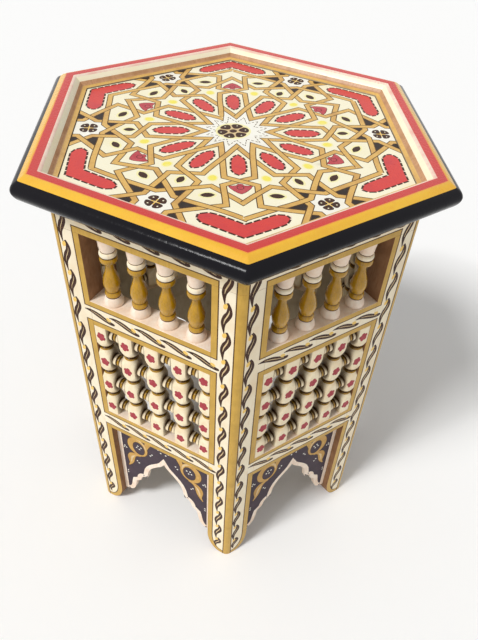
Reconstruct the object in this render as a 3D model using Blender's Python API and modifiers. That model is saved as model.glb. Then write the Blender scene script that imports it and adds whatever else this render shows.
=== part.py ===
"""Six-sided painted side table: posts, rails, turned balusters, lattice panels and a tray top.

Units are metres and +Z is up. The origin is on the floor under the middle of the table, and one
corner post points along -Y.
"""

import math

import bmesh
import bpy
from mathutils import Matrix, Vector

# Driving dimensions of the body
SIDES = 6
BODY_APOTHEM = 0.1625
FRAME_THICKNESS = 0.022
POST_WIDTH = 0.0284
CORNER_RADIUS = 0.009

# Heights of the storeys of one side, from the floor up
APRON_OPENING_HEIGHT = 0.169
LOW_RAIL_HEIGHT = 0.0322
LATTICE_HEIGHT = 0.1376
MID_RAIL_HEIGHT = 0.0312
BALUSTER_HEIGHT = 0.078
TOP_FRAME_HEIGHT = 0.0267

# Feet
FOOT_FLAT = 0.009
FOOT_HEIGHT = 0.036

# Tray top
RIM_OVERHANG = 0.0245
RIM_WIDTH = 0.035
RIM_HEIGHT = 0.025
RIM_LIP = 0.008
FIELD_DEPTH = 0.011
BOARD_REBATE = 0.003

# Turned and pierced work
BALUSTERS_PER_SIDE = 4
BALUSTER_RADIUS = 0.0100
BALUSTER_FACETS = 6
BALUSTER_END_SHARE = 0.68
LATTICE_COLUMNS = 5
LATTICE_ROWS = 4
LATTICE_EDGE_INSET = 0.0048
LATTICE_END = 0.0133
BLOCK_WIDTH = 0.0175
BLOCK_WAIST = 0.0120
CUP_SHARE = 0.40
BOBBIN_RADIUS = 0.0056
BOBBIN_FACETS = 6
COLLAR_RADIUS = 0.0049
APRON_THICKNESS = 0.0065
APRON_RECESS = 0.008
ARCH_RISE = 0.128
ARCH_FOOT_SHARE = 0.2

# Joinery
GAP = 0.0003
TENON_LENGTH = 0.008
TENON_THICKNESS = 0.008
TENON_SHOULDER = 0.006
GROOVE_DEPTH = 0.005
PEG_LENGTH = 0.006
PEG_RADIUS = 0.004
LATTICE_PIN = 0.005

# Steps of the rounded outlines, and how the cutters and joins are made
ARRIS_STEPS = 3
FOOT_STEPS = 5
ARCH_STEPS = 4
CUT_MARGIN = 0.01
JOIN_DEPTH = 0.002
WELD_DISTANCE = 0.00001

# Worked out from the above
STEP_ANGLE = 2 * math.pi / SIDES
HALF_CORNER = STEP_ANGLE / 2
CORNER_DISTANCE = BODY_APOTHEM / math.cos(HALF_CORNER)
HALF_SIDE = BODY_APOTHEM * math.tan(HALF_CORNER)
HALF_OPENING = HALF_SIDE - POST_WIDTH
MID_DEPTH = FRAME_THICKNESS / 2
LATTICE_DEPTH = BLOCK_WIDTH / 2
LOW_RAIL_Z = APRON_OPENING_HEIGHT
LATTICE_Z = LOW_RAIL_Z + LOW_RAIL_HEIGHT
MID_RAIL_Z = LATTICE_Z + LATTICE_HEIGHT
BALUSTER_Z = MID_RAIL_Z + MID_RAIL_HEIGHT
TOP_FRAME_Z = BALUSTER_Z + BALUSTER_HEIGHT
BOARD_Z = TOP_FRAME_Z + TOP_FRAME_HEIGHT + GAP
CREST_Z = BOARD_Z + RIM_HEIGHT
FIELD_Z = CREST_Z - FIELD_DEPTH
RIM_APOTHEM = BODY_APOTHEM + RIM_OVERHANG
FIELD_APOTHEM = RIM_APOTHEM - RIM_WIDTH
BOARD_APOTHEM = FIELD_APOTHEM + RIM_LIP
ARCH_FOOT_Z = ARCH_FOOT_SHARE * ARCH_RISE
LATTICE_PITCH = (LATTICE_HEIGHT - 2 * GAP - 2 * LATTICE_END) / (LATTICE_ROWS - 1)
FIRST_FACE_ANGLE = math.radians(240)
FIRST_CORNER_ANGLE = math.radians(-90)

parts = None
cutters = None


def start_scene():
    """Clear the scene and make one collection for the parts and one for the cutters."""
    global parts, cutters
    for item in list(bpy.data.objects):
        bpy.data.objects.remove(item, do_unlink=True)
    parts = bpy.data.collections.new("painted_side_table")
    cutters = bpy.data.collections.new("cutters")
    bpy.context.scene.collection.children.link(parts)
    bpy.context.scene.collection.children.link(cutters)


def paint(name, colour, roughness):
    """Make a plain painted-wood material."""
    material = bpy.data.materials.new(name)
    material.use_nodes = True
    shader = material.node_tree.nodes["Principled BSDF"]
    shader.inputs["Base Color"].default_value = (*colour, 1.0)
    shader.inputs["Roughness"].default_value = roughness
    shader.inputs["Metallic"].default_value = 0.0
    return material


def helper(name, data):
    """Put data in the scene as a helper that is not a piece of the table."""
    item = bpy.data.objects.new(name, data)
    item.hide_render = True
    item.display_type = "WIRE"
    cutters.objects.link(item)
    return item


def settle(item, name):
    """Return the evaluated mesh of a helper, welded, in the helper's parent space, and drop the helper."""
    graph = bpy.context.evaluated_depsgraph_get()
    graph.update()
    mesh = bpy.data.meshes.new_from_object(item.evaluated_get(graph))
    mesh.name = name
    work = bmesh.new()
    work.from_mesh(mesh)
    bmesh.ops.remove_doubles(work, verts=work.verts, dist=WELD_DISTANCE)
    bmesh.ops.transform(work, matrix=item.matrix_world, verts=work.verts)
    work.to_mesh(mesh)
    work.free()
    bpy.data.objects.remove(item, do_unlink=True)
    return mesh


def join(meshes, name):
    """Put several meshes into one mesh, each still a body of its own."""
    work = bmesh.new()
    for mesh in meshes:
        work.from_mesh(mesh)
    joined = bpy.data.meshes.new(name)
    work.to_mesh(joined)
    work.free()
    return joined


def block(low, high):
    """Make a box mesh between two corners."""
    low = Vector(low)
    high = Vector(high)
    work = bmesh.new()
    size = high - low
    place = Matrix.Translation((low + high) / 2) @ Matrix.Diagonal((size.x, size.y, size.z, 1.0))
    bmesh.ops.create_cube(work, size=1.0, matrix=place)
    mesh = bpy.data.meshes.new("block")
    work.to_mesh(mesh)
    work.free()
    return mesh


def turned(profile, facets, place=None):
    """Turn a profile of (radius, height) points, given from the top down, about Z."""
    mesh = bpy.data.meshes.new("profile")
    points = [(radius, 0.0, height) for radius, height in profile]
    mesh.from_pydata(points, [(i, i + 1) for i in range(len(points) - 1)], [])
    item = helper("turning", mesh)
    item.matrix_world = place or Matrix.Identity(4)
    screw = item.modifiers.new("Turn", "SCREW")
    screw.angle = 2 * math.pi
    screw.steps = facets
    screw.render_steps = facets
    screw.use_merge_vertices = True
    screw.merge_threshold = WELD_DISTANCE
    screw.use_smooth_shade = False
    return settle(item, "turned")


def plate(outlines, thickness, place=None):
    """Extrude closed 2D outlines; an outline inside another one is a hole."""
    curve = bpy.data.curves.new("outline", "CURVE")
    curve.dimensions = "2D"
    curve.fill_mode = "BOTH"
    curve.extrude = thickness / 2
    for points in outlines:
        spline = curve.splines.new("POLY")
        spline.points.add(len(points) - 1)
        for control, (x, y) in zip(spline.points, points):
            control.co = (x, y, 0.0, 1.0)
        spline.use_cyclic_u = True
    item = helper("plate", curve)
    item.matrix_world = place or Matrix.Identity(4)
    return settle(item, "plate")


def combine(mesh, other, operation, overlapping=False):
    """Boolean two meshes; overlapping says that one of them holds bodies that run through each other."""
    target = helper("target", mesh)
    tool = helper("tool", other)
    boolean = target.modifiers.new("Shape", "BOOLEAN")
    boolean.operation = operation
    boolean.solver = "EXACT"
    boolean.use_self = overlapping
    boolean.object = tool
    result = settle(target, mesh.name)
    bpy.data.objects.remove(tool, do_unlink=True)
    return result


def add_part(name, mesh, material, parent, location=(0, 0, 0)):
    """Add one piece of the table."""
    if not mesh.materials:
        mesh.materials.append(material)
    item = bpy.data.objects.new(name, mesh)
    item.parent = parent
    item.location = location
    parts.objects.link(item)
    return item


def add_empty(name, angle, distance):
    """Add an empty whose +Y looks at the middle of the table and whose XZ plane faces outward."""
    item = bpy.data.objects.new(name, None)
    item.location = (distance * math.cos(angle), distance * math.sin(angle), 0.0)
    item.rotation_euler.z = angle + math.pi / 2
    parts.objects.link(item)
    return item


def hexagon(apothem, radius=0.0):
    """Corner points of the table's plan at an apothem, with the corners rounded to a radius."""
    corner_distance = apothem / math.cos(HALF_CORNER)
    points = []
    for k in range(SIDES):
        angle = FIRST_CORNER_ANGLE + k * STEP_ANGLE
        outward = Vector((math.cos(angle), math.sin(angle)))
        if radius == 0.0:
            points.append(corner_distance * outward)
            continue
        centre = (corner_distance - radius / math.cos(HALF_CORNER)) * outward
        for i in range(ARRIS_STEPS + 1):
            swing = angle + HALF_CORNER * (2 * i / ARRIS_STEPS - 1)
            points.append(centre + radius * Vector((math.cos(swing), math.sin(swing))))
    return [tuple(point) for point in points]


def bezier(start, first, second, end):
    """Points along a cubic Bezier curve, without its first point."""
    points = []
    for i in range(1, ARCH_STEPS + 1):
        t = i / ARCH_STEPS
        s = 1 - t
        weights = (s ** 3, 3 * s * s * t, 3 * s * t * t, t ** 3)
        x = sum(w * p[0] for w, p in zip(weights, (start, first, second, end)))
        y = sum(w * p[1] for w, p in zip(weights, (start, first, second, end)))
        points.append((x, y))
    return points


def upright(depth):
    """Matrix that stands a flat plate up in the plane of a side, with its middle at a depth."""
    return Matrix.Translation((0, depth, 0)) @ Matrix.Rotation(math.pi / 2, 4, "X")


def tenon_z(low, height):
    """Bottom and top of a tenon on a rail."""
    return low + 2 * TENON_SHOULDER, low + height - TENON_SHOULDER


def baluster_places():
    """Positions of the balusters along one side, with less than a pitch left at each end."""
    pitch = 2 * HALF_OPENING / (BALUSTERS_PER_SIDE - 1 + 2 * BALUSTER_END_SHARE)
    middle = (BALUSTERS_PER_SIDE - 1) / 2
    return [(i - middle) * pitch for i in range(BALUSTERS_PER_SIDE)]


def lattice_columns():
    """Positions of the lattice columns along one side."""
    reach = HALF_OPENING - LATTICE_EDGE_INSET
    return [reach * (2 * i / (LATTICE_COLUMNS - 1) - 1) for i in range(LATTICE_COLUMNS)]


def pegs(places, low, high, radius):
    """Round pegs or peg holes at places along one side."""
    profile = [(0, high), (radius, high), (radius, low), (0, low)]
    lift = [Matrix.Translation((x, MID_DEPTH, 0)) for x in places]
    return [turned(profile, BALUSTER_FACETS, place) for place in lift]


def pin_holes(low, high):
    """Square holes for the pins of the full lattice columns."""
    half = LATTICE_PIN / 2 + GAP
    inner = lattice_columns()[1:-1]
    near, far = LATTICE_DEPTH - half, LATTICE_DEPTH + half
    return [block((x - half, near, low), (x + half, far, high)) for x in inner]


def rail(low, height):
    """A rail with a tenon at each end, before its holes are cut."""
    end = HALF_OPENING - GAP
    body = block((-end, 0, low), (end, FRAME_THICKNESS, low + height))
    reach = end + TENON_LENGTH
    near = MID_DEPTH - TENON_THICKNESS / 2
    tenon_low, tenon_high = tenon_z(low, height)
    tenons = block((-reach, near, tenon_low), (reach, near + TENON_THICKNESS, tenon_high))
    return combine(body, tenons, "UNION")


def make_post():
    """A corner post of two wings at the corner angle, with mortises, apron grooves and a rounded foot."""
    along = Vector((math.cos(HALF_CORNER), math.sin(HALF_CORNER)))
    inward = Vector((-math.sin(HALF_CORNER), math.cos(HALF_CORNER)))
    tip = POST_WIDTH * along
    right = [tip, tip + FRAME_THICKNESS * inward, Vector((0, FRAME_THICKNESS / math.cos(HALF_CORNER)))]
    left = [Vector((-p.x, p.y)) for p in reversed(right[:2])]
    centre = Vector((0, CORNER_RADIUS / math.cos(HALF_CORNER)))
    arris = []
    for i in range(ARRIS_STEPS + 1):
        swing = -math.pi / 2 + HALF_CORNER * (2 * i / ARRIS_STEPS - 1)
        arris.append(centre + CORNER_RADIUS * Vector((math.cos(swing), math.sin(swing))))
    height = TOP_FRAME_Z - GAP
    lift = Matrix.Translation((0, 0, height / 2))
    mesh = plate([[tuple(p) for p in arris + right + left]], height, lift)
    wing = Matrix.Rotation(HALF_CORNER, 4, "Z")
    tools = wing_cutters(wing)
    mirror = Matrix.Diagonal((-1, 1, 1, 1))
    mesh = combine(mesh, join(tools, "right wing cuts"), "DIFFERENCE", overlapping=True)
    mesh = combine(mesh, mirrored(join(tools, "left wing cuts"), mirror), "DIFFERENCE", overlapping=True)
    low, high = post_tenon(-GAP)
    return combine(mesh, block(low, high), "UNION")


def mirrored(mesh, matrix):
    """Mirror a mesh and turn its faces outward again."""
    mesh.transform(matrix)
    mesh.flip_normals()
    return mesh


def wing_cutters(wing):
    """Cutters for one wing of a post: rail mortises, the apron groove and the round of the foot."""
    far = POST_WIDTH + CUT_MARGIN
    near = MID_DEPTH - TENON_THICKNESS / 2 - GAP
    cuts = []
    for low, height in ((LOW_RAIL_Z, LOW_RAIL_HEIGHT), (MID_RAIL_Z, MID_RAIL_HEIGHT)):
        tenon_low, tenon_high = tenon_z(low, height)
        start = POST_WIDTH - TENON_LENGTH - GAP
        mortise_near = (start, near, tenon_low - GAP)
        mortise_far = (far, near + TENON_THICKNESS + 2 * GAP, tenon_high + GAP)
        cuts.append(block(mortise_near, mortise_far))
    groove_near = (POST_WIDTH - GROOVE_DEPTH - GAP, APRON_RECESS - GAP, ARCH_FOOT_Z - GAP)
    groove_top = LOW_RAIL_Z + GROOVE_DEPTH + GAP
    groove_far = (far, APRON_RECESS + APRON_THICKNESS + GAP, groove_top)
    cuts.append(block(groove_near, groove_far))
    cuts.append(foot_cutter(far))
    for mesh in cuts:
        mesh.transform(wing)
    return cuts


def foot_cutter(far):
    """The waste below the quarter ellipse that rounds the inner side of a foot."""
    span = POST_WIDTH - FOOT_FLAT
    outline = [(FOOT_FLAT, -CUT_MARGIN)]
    for i in range(FOOT_STEPS + 1):
        angle = (math.pi / 2) * i / FOOT_STEPS
        x = FOOT_FLAT + span * math.sin(angle)
        outline.append((x, FOOT_HEIGHT * (1 - math.cos(angle))))
    outline += [(far, FOOT_HEIGHT), (far, -CUT_MARGIN)]
    return plate([outline], 2 * FRAME_THICKNESS, upright(FRAME_THICKNESS / 2))


def post_tenon(clearance):
    """Corners of the tenon on top of a post, in the post's own frame."""
    half = TENON_THICKNESS / 2 + clearance + GAP
    middle = MID_DEPTH / math.cos(HALF_CORNER)
    top = TOP_FRAME_Z + 2 * PEG_LENGTH + clearance
    return (-half, middle - half, TOP_FRAME_Z - GAP - JOIN_DEPTH), (half, middle + half, top)


def make_mid_rail():
    """The sill rail between the balusters and the lattice."""
    mesh = rail(MID_RAIL_Z, MID_RAIL_HEIGHT)
    floor = BALUSTER_Z - PEG_LENGTH - GAP
    holes = pegs(baluster_places(), floor, BALUSTER_Z + CUT_MARGIN, PEG_RADIUS + 2 * GAP)
    holes += pin_holes(MID_RAIL_Z - CUT_MARGIN, MID_RAIL_Z + LATTICE_PIN + GAP)
    return combine(mesh, join(holes, "holes"), "DIFFERENCE")


def make_low_rail():
    """The rail under the lattice, grooved below for the apron."""
    mesh = rail(LOW_RAIL_Z, LOW_RAIL_HEIGHT)
    cuts = pin_holes(LATTICE_Z - LATTICE_PIN - GAP, LATTICE_Z + CUT_MARGIN)
    reach = HALF_OPENING + CUT_MARGIN
    groove_near = (-reach, APRON_RECESS - GAP, LOW_RAIL_Z - CUT_MARGIN)
    groove_far = (reach, APRON_RECESS + APRON_THICKNESS + GAP, LOW_RAIL_Z + GROOVE_DEPTH + GAP)
    cuts.append(block(groove_near, groove_far))
    return combine(mesh, join(cuts, "cuts"), "DIFFERENCE")


def arch_half():
    """Right half of the scalloped arch, from the apex down to the post."""
    across = HALF_OPENING
    up = ARCH_RISE
    apex = (0.0, up)
    shoulder = (0.40 * across, 0.67 * up)
    points = [apex]
    points += bezier(apex, (0.07 * across, 0.90 * up), (0.36 * across, 0.86 * up), shoulder)
    points.append((0.42 * across, 0.60 * up))
    points += bezier(points[-1], (0.50 * across, 0.60 * up), (0.57 * across, 0.58 * up),
                     (0.58 * across, 0.50 * up))
    points.append((0.69 * across, 0.45 * up))
    points += bezier(points[-1], (0.73 * across, 0.38 * up), (0.72 * across, 0.25 * up),
                     (0.87 * across, 0.22 * up))
    return points


def make_apron():
    """A thin board with a scalloped arch, tongued into the posts and the rail above."""
    side = HALF_OPENING - GAP + GROOVE_DEPTH
    top = LOW_RAIL_Z + GROOVE_DEPTH
    right = arch_half()
    left = [(-x, z) for x, z in reversed(right[1:])]
    outline = [(-side, ARCH_FOOT_Z)] + left + right + [(side, ARCH_FOOT_Z), (side, top), (-side, top)]
    return plate([outline], APRON_THICKNESS, upright(APRON_RECESS + APRON_THICKNESS / 2))


def make_baluster():
    """A vase baluster with a round peg at each end, from its own foot up."""
    foot = GAP
    head = BALUSTER_HEIGHT - GAP
    shape = [
        (0.75, 1.00), (0.79, 0.66), (0.44, 0.57), (0.77, 0.34),
        (0.60, 0.19), (0.71, 0.14), (0.98, 0.04), (1.00, 0.00),
    ]
    profile = [(0, head + PEG_LENGTH), (PEG_RADIUS, head + PEG_LENGTH), (PEG_RADIUS, head)]
    profile += [(BALUSTER_RADIUS * r, foot + (head - foot) * h) for r, h in shape]
    profile += [(PEG_RADIUS, foot), (PEG_RADIUS, foot - PEG_LENGTH), (0, foot - PEG_LENGTH)]
    return turned(profile, BALUSTER_FACETS)


def lattice_column(x, pinned):
    """A square spindle of blocks with turned cups and waists between them."""
    foot = LATTICE_Z + GAP
    head = LATTICE_Z + LATTICE_HEIGHT - GAP
    half = BLOCK_WIDTH / 2
    pitch = LATTICE_PITCH
    widths = [(LATTICE_PIN / 2, head + LATTICE_PIN), (LATTICE_PIN / 2, head)] if pinned else []
    widths.append((half, head))
    for row in range(LATTICE_ROWS - 1):
        waist = head - LATTICE_END - (row + 0.5) * pitch
        cup = CUP_SHARE * pitch / 2
        widths += [(half, waist + cup), (BLOCK_WAIST / 2, waist), (half, waist - cup)]
    widths.append((half, foot))
    if pinned:
        widths += [(LATTICE_PIN / 2, foot), (LATTICE_PIN / 2, foot - LATTICE_PIN)]
    diagonal = math.sqrt(2)
    profile = [(0, widths[0][1])] + [(diagonal * w, z) for w, z in widths] + [(0, widths[-1][1])]
    place = Matrix.Translation((x, LATTICE_DEPTH, 0)) @ Matrix.Rotation(math.pi / 4, 4, "Z")
    return turned(profile, 4, place)


def lattice_rod(z):
    """A horizontal rod of turned bobbins, one in each gap between two columns."""
    columns = lattice_columns()
    profile = [(0, columns[-1]), (COLLAR_RADIUS, columns[-1])]
    for right, left in zip(columns[:0:-1], columns[-2::-1]):
        clear = (right - left - BLOCK_WIDTH) / 2
        middle = (right + left) / 2
        swell = (BOBBIN_RADIUS, middle)
        profile += [(COLLAR_RADIUS, middle + clear), swell, (COLLAR_RADIUS, middle - clear)]
    profile += [(COLLAR_RADIUS, columns[0]), (0, columns[0])]
    place = Matrix.Translation((0, LATTICE_DEPTH, z)) @ Matrix.Rotation(math.pi / 2, 4, "Y")
    return turned(profile, BOBBIN_FACETS, place)


def make_lattice():
    """A turned lattice panel: block spindles crossed by rows of bobbins, cut to the opening."""
    columns = lattice_columns()
    bodies = [lattice_column(x, x not in (columns[0], columns[-1])) for x in columns]
    foot = LATTICE_Z + GAP + LATTICE_END
    bodies += [lattice_rod(foot + row * LATTICE_PITCH) for row in range(LATTICE_ROWS)]
    edge = HALF_OPENING - GAP
    low = (-edge, -CUT_MARGIN, LATTICE_Z - CUT_MARGIN)
    high = (edge, FRAME_THICKNESS + CUT_MARGIN, LATTICE_Z + LATTICE_HEIGHT + CUT_MARGIN)
    return combine(join(bodies, "lattice"), block(low, high), "INTERSECT", overlapping=True)


def make_top_frame():
    """The top rails as one ring that caps the posts and takes the heads of the balusters."""
    lift = Matrix.Translation((0, 0, TOP_FRAME_Z + TOP_FRAME_HEIGHT / 2))
    outlines = [hexagon(BODY_APOTHEM, CORNER_RADIUS), hexagon(BODY_APOTHEM - FRAME_THICKNESS)]
    mesh = plate(outlines, TOP_FRAME_HEIGHT, lift)
    floor = TOP_FRAME_Z - CUT_MARGIN
    roof = TOP_FRAME_Z + PEG_LENGTH
    cuts = []
    for k in range(SIDES):
        face = face_matrix(FIRST_FACE_ANGLE + k * STEP_ANGLE, BODY_APOTHEM)
        for hole in pegs(baluster_places(), floor, roof, PEG_RADIUS + 2 * GAP):
            hole.transform(face)
            cuts.append(hole)
        low, high = post_tenon(GAP)
        mortise = block((low[0], low[1], floor), high)
        mortise.transform(face_matrix(FIRST_CORNER_ANGLE + k * STEP_ANGLE, CORNER_DISTANCE))
        cuts.append(mortise)
    return combine(mesh, join(cuts, "holes"), "DIFFERENCE")


def face_matrix(angle, distance):
    """Matrix from a side's or a corner's own frame to the table's frame."""
    out = Matrix.Translation((distance * math.cos(angle), distance * math.sin(angle), 0))
    return out @ Matrix.Rotation(angle + math.pi / 2, 4, "Z")


def rim_profile():
    """Section of the rim as (apothem, height), from the crest outward, under and back inside."""
    seat = BOARD_APOTHEM + GAP
    under = FIELD_Z - BOARD_REBATE + GAP
    outside = [(0.415, 0.0), (0.2, 0.16), (0.06, 0.32), (0.0, 0.5), (0.04, 0.8), (0.17, 1.0)]
    inside = [(1.0, 0.11), (0.84, 0.23), (0.81, 0.5), (0.62, 1.0)]
    points = [(RIM_APOTHEM - RIM_WIDTH * x, CREST_Z - RIM_HEIGHT * down) for x, down in outside]
    points += [(seat, BOARD_Z), (seat, under), (FIELD_APOTHEM, under)]
    points += [(RIM_APOTHEM - RIM_WIDTH * x, FIELD_Z + FIELD_DEPTH * up) for x, up in inside]
    return points


def make_rim():
    """The moulded rim, swept round the six sides with mitred corners."""
    apothem_to_corner = 1 / math.cos(HALF_CORNER)
    profile = [(r * apothem_to_corner, z) for r, z in rim_profile()]
    profile.append(profile[0])
    return turned(profile, SIDES, Matrix.Rotation(FIRST_CORNER_ANGLE, 4, "Z"))


def make_board():
    """The sunk board of the tray: its edge is rebated to go under the rim, and its field fills the rim."""
    shoulder = FIELD_Z - BOARD_REBATE
    edge_lift = Matrix.Translation((0, 0, (shoulder + BOARD_Z) / 2))
    field_lift = Matrix.Translation((0, 0, (FIELD_Z + BOARD_Z) / 2))
    edge = plate([hexagon(BOARD_APOTHEM)], shoulder - BOARD_Z, edge_lift)
    field = plate([hexagon(FIELD_APOTHEM - GAP)], FIELD_Z - BOARD_Z, field_lift)
    return combine(edge, field, "UNION")


def main():
    start_scene()
    cream = paint("cream_painted_frame", (0.88, 0.78, 0.60), 0.45)
    pale = paint("pink_cream_painted_balusters", (0.80, 0.62, 0.48), 0.45)
    ivory = paint("ivory_painted_lattice", (0.84, 0.74, 0.58), 0.45)
    plum = paint("plum_painted_aprons", (0.07, 0.05, 0.06), 0.50)
    gold = paint("gold_painted_rim", (0.84, 0.43, 0.04), 0.35)
    field = paint("cream_painted_board", (0.95, 0.87, 0.64), 0.35)

    post = make_post()
    mid_rail = make_mid_rail()
    low_rail = make_low_rail()
    apron = make_apron()
    lattice = make_lattice()
    baluster = make_baluster()

    for k in range(SIDES):
        number = k + 1
        corner = add_empty(f"corner_{number}", FIRST_CORNER_ANGLE + k * STEP_ANGLE, CORNER_DISTANCE)
        side = add_empty(f"side_{number}", FIRST_FACE_ANGLE + k * STEP_ANGLE, BODY_APOTHEM)
        add_part(f"post_{number}", post, cream, corner)
        add_part(f"mid_rail_{number}", mid_rail, cream, side)
        add_part(f"low_rail_{number}", low_rail, cream, side)
        add_part(f"apron_{number}", apron, plum, side)
        add_part(f"lattice_{number}", lattice, ivory, side)
        for i, x in enumerate(baluster_places()):
            place = (x, MID_DEPTH, BALUSTER_Z)
            add_part(f"baluster_{number}_{i + 1}", baluster, pale, side, place)

    add_part("top_frame", make_top_frame(), cream, None)
    add_part("tray_board", make_board(), field, None)
    add_part("tray_rim", make_rim(), gold, None)


if __name__ == "__main__":
    main()
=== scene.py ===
"""Looks of a six-sided painted side table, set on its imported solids.

Shapes are worked out in millimetres and turned into metres when a mesh point is made. A side's own frame
has X to the right seen from outside, Y inward from the face and Z up; a corner's frame starts on the arris.
"""

import math
from collections import namedtuple

import bmesh
import bpy
from mathutils import Matrix, Vector
from mathutils.geometry import delaunay_2d_cdt


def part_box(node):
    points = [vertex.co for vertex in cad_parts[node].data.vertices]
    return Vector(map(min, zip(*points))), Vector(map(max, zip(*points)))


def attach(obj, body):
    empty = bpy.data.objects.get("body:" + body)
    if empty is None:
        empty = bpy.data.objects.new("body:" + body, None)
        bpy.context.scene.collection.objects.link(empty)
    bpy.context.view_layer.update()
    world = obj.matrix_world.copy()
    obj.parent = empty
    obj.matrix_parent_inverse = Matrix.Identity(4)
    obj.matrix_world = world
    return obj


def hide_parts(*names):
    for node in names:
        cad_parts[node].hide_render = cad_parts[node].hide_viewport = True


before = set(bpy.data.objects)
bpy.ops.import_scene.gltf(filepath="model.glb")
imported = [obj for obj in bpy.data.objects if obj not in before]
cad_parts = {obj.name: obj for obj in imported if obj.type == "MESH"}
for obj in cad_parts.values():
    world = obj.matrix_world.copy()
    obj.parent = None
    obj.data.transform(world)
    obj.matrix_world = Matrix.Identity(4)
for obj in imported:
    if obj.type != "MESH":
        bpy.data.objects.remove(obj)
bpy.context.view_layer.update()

bl_info = {
    "name": "Painted Side Table",
    "version": (1, 0, 0),
    "blender": (4, 5, 0),
    "location": "View3D > Sidebar > Side Table",
    "description": "Dresses the solids of a six-sided painted side table",
    "category": "Object",
}

MM = 0.001


def box_mm(node):
    """Lowest and highest corner of a solid, in millimetres."""
    low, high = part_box(node)
    return low / MM, high / MM


# Clearance between neighbouring pieces, and the plan of six equal sides
GAP = 0.3
SIDES = 6
NUMBERS = range(1, SIDES + 1)
STEP = math.tau / SIDES
HALF_STEP = STEP / 2
FIRST_SIDE = math.radians(240)
FIRST_CORNER = math.radians(-90)

# Sizes read from the imported solids; side 3 faces +X, so its X is depth and its Y runs along the side
RIM_LOW, RIM_HIGH = box_mm("tray_rim")
BOARD_LOW, BOARD_HIGH = box_mm("tray_board")
TOP_LOW, TOP_HIGH = box_mm("top_frame")
SILL_LOW, SILL_HIGH = box_mm("mid_rail_3")
RAIL_LOW, RAIL_HIGH = box_mm("low_rail_3")
APRON_LOW, APRON_HIGH = box_mm("apron_3")
RIM_APOTHEM = RIM_HIGH.x
CREST_Z = RIM_HIGH.z
BODY_APOTHEM = SILL_HIGH.x
THICKNESS = SILL_HIGH.x - SILL_LOW.x
HALF_SIDE = BODY_APOTHEM * math.tan(HALF_STEP)
CORNER_DISTANCE = BODY_APOTHEM / math.cos(HALF_STEP)
HALF_OPENING = box_mm("lattice_3")[1].y + GAP
POST_WIDTH = HALF_SIDE - HALF_OPENING
APRON_RECESS = BODY_APOTHEM - APRON_HIGH.x
APRON_THICKNESS = APRON_HIGH.x - APRON_LOW.x
BALUSTER_PLACES = [sum(box_mm(f"baluster_3_{i}")[end].y for end in (0, 1)) / 2 for i in (1, 2, 3, 4)]
BALUSTER_HEIGHT = TOP_LOW.z - SILL_HIGH.z

# Sizes that the imported solids do not give by themselves: the softened edge of a board and the seam where
# two meet, the round arris and foot of a post, the degrees of that foot's points, the arch of an apron, and
# the field of the tray with the rebate that holds it under the rim
EDGE = 0.15
SEAM = EDGE / 3
ARRIS_RADIUS = 9.0
ARRIS_REACH = ARRIS_RADIUS * math.tan(HALF_STEP)
ARRIS_FOLDS = 4
FOOT_FLAT = 9.0
FOOT_HEIGHT = 36.0
FOOT_TURNS = range(0, 91, 9)
ARCH_RISE = 128.0
ARCH_FOOT = APRON_LOW.z
FIELD_APOTHEM = 152.0
BOARD_REBATE = 3.0


def linear(code):
    """Linear RGB of an sRGB hex colour."""
    channels = [int(code[i:i + 2], 16) / 255 for i in (1, 3, 5)]
    return tuple(c / 12.92 if c <= 0.04045 else ((c + 0.055) / 1.055) ** 2.4 for c in channels)


def tint(name, description, code):
    """A colour that a user may change."""
    return bpy.props.FloatVectorProperty(
        name=name, description=description, default=linear(code), subtype="COLOR", size=3, min=0, max=1)


def length(name, description, size):
    """A length in millimetres that a user may change."""
    return bpy.props.FloatProperty(
        name=name, description=description, default=size * MM, min=0, unit="LENGTH")


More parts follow.
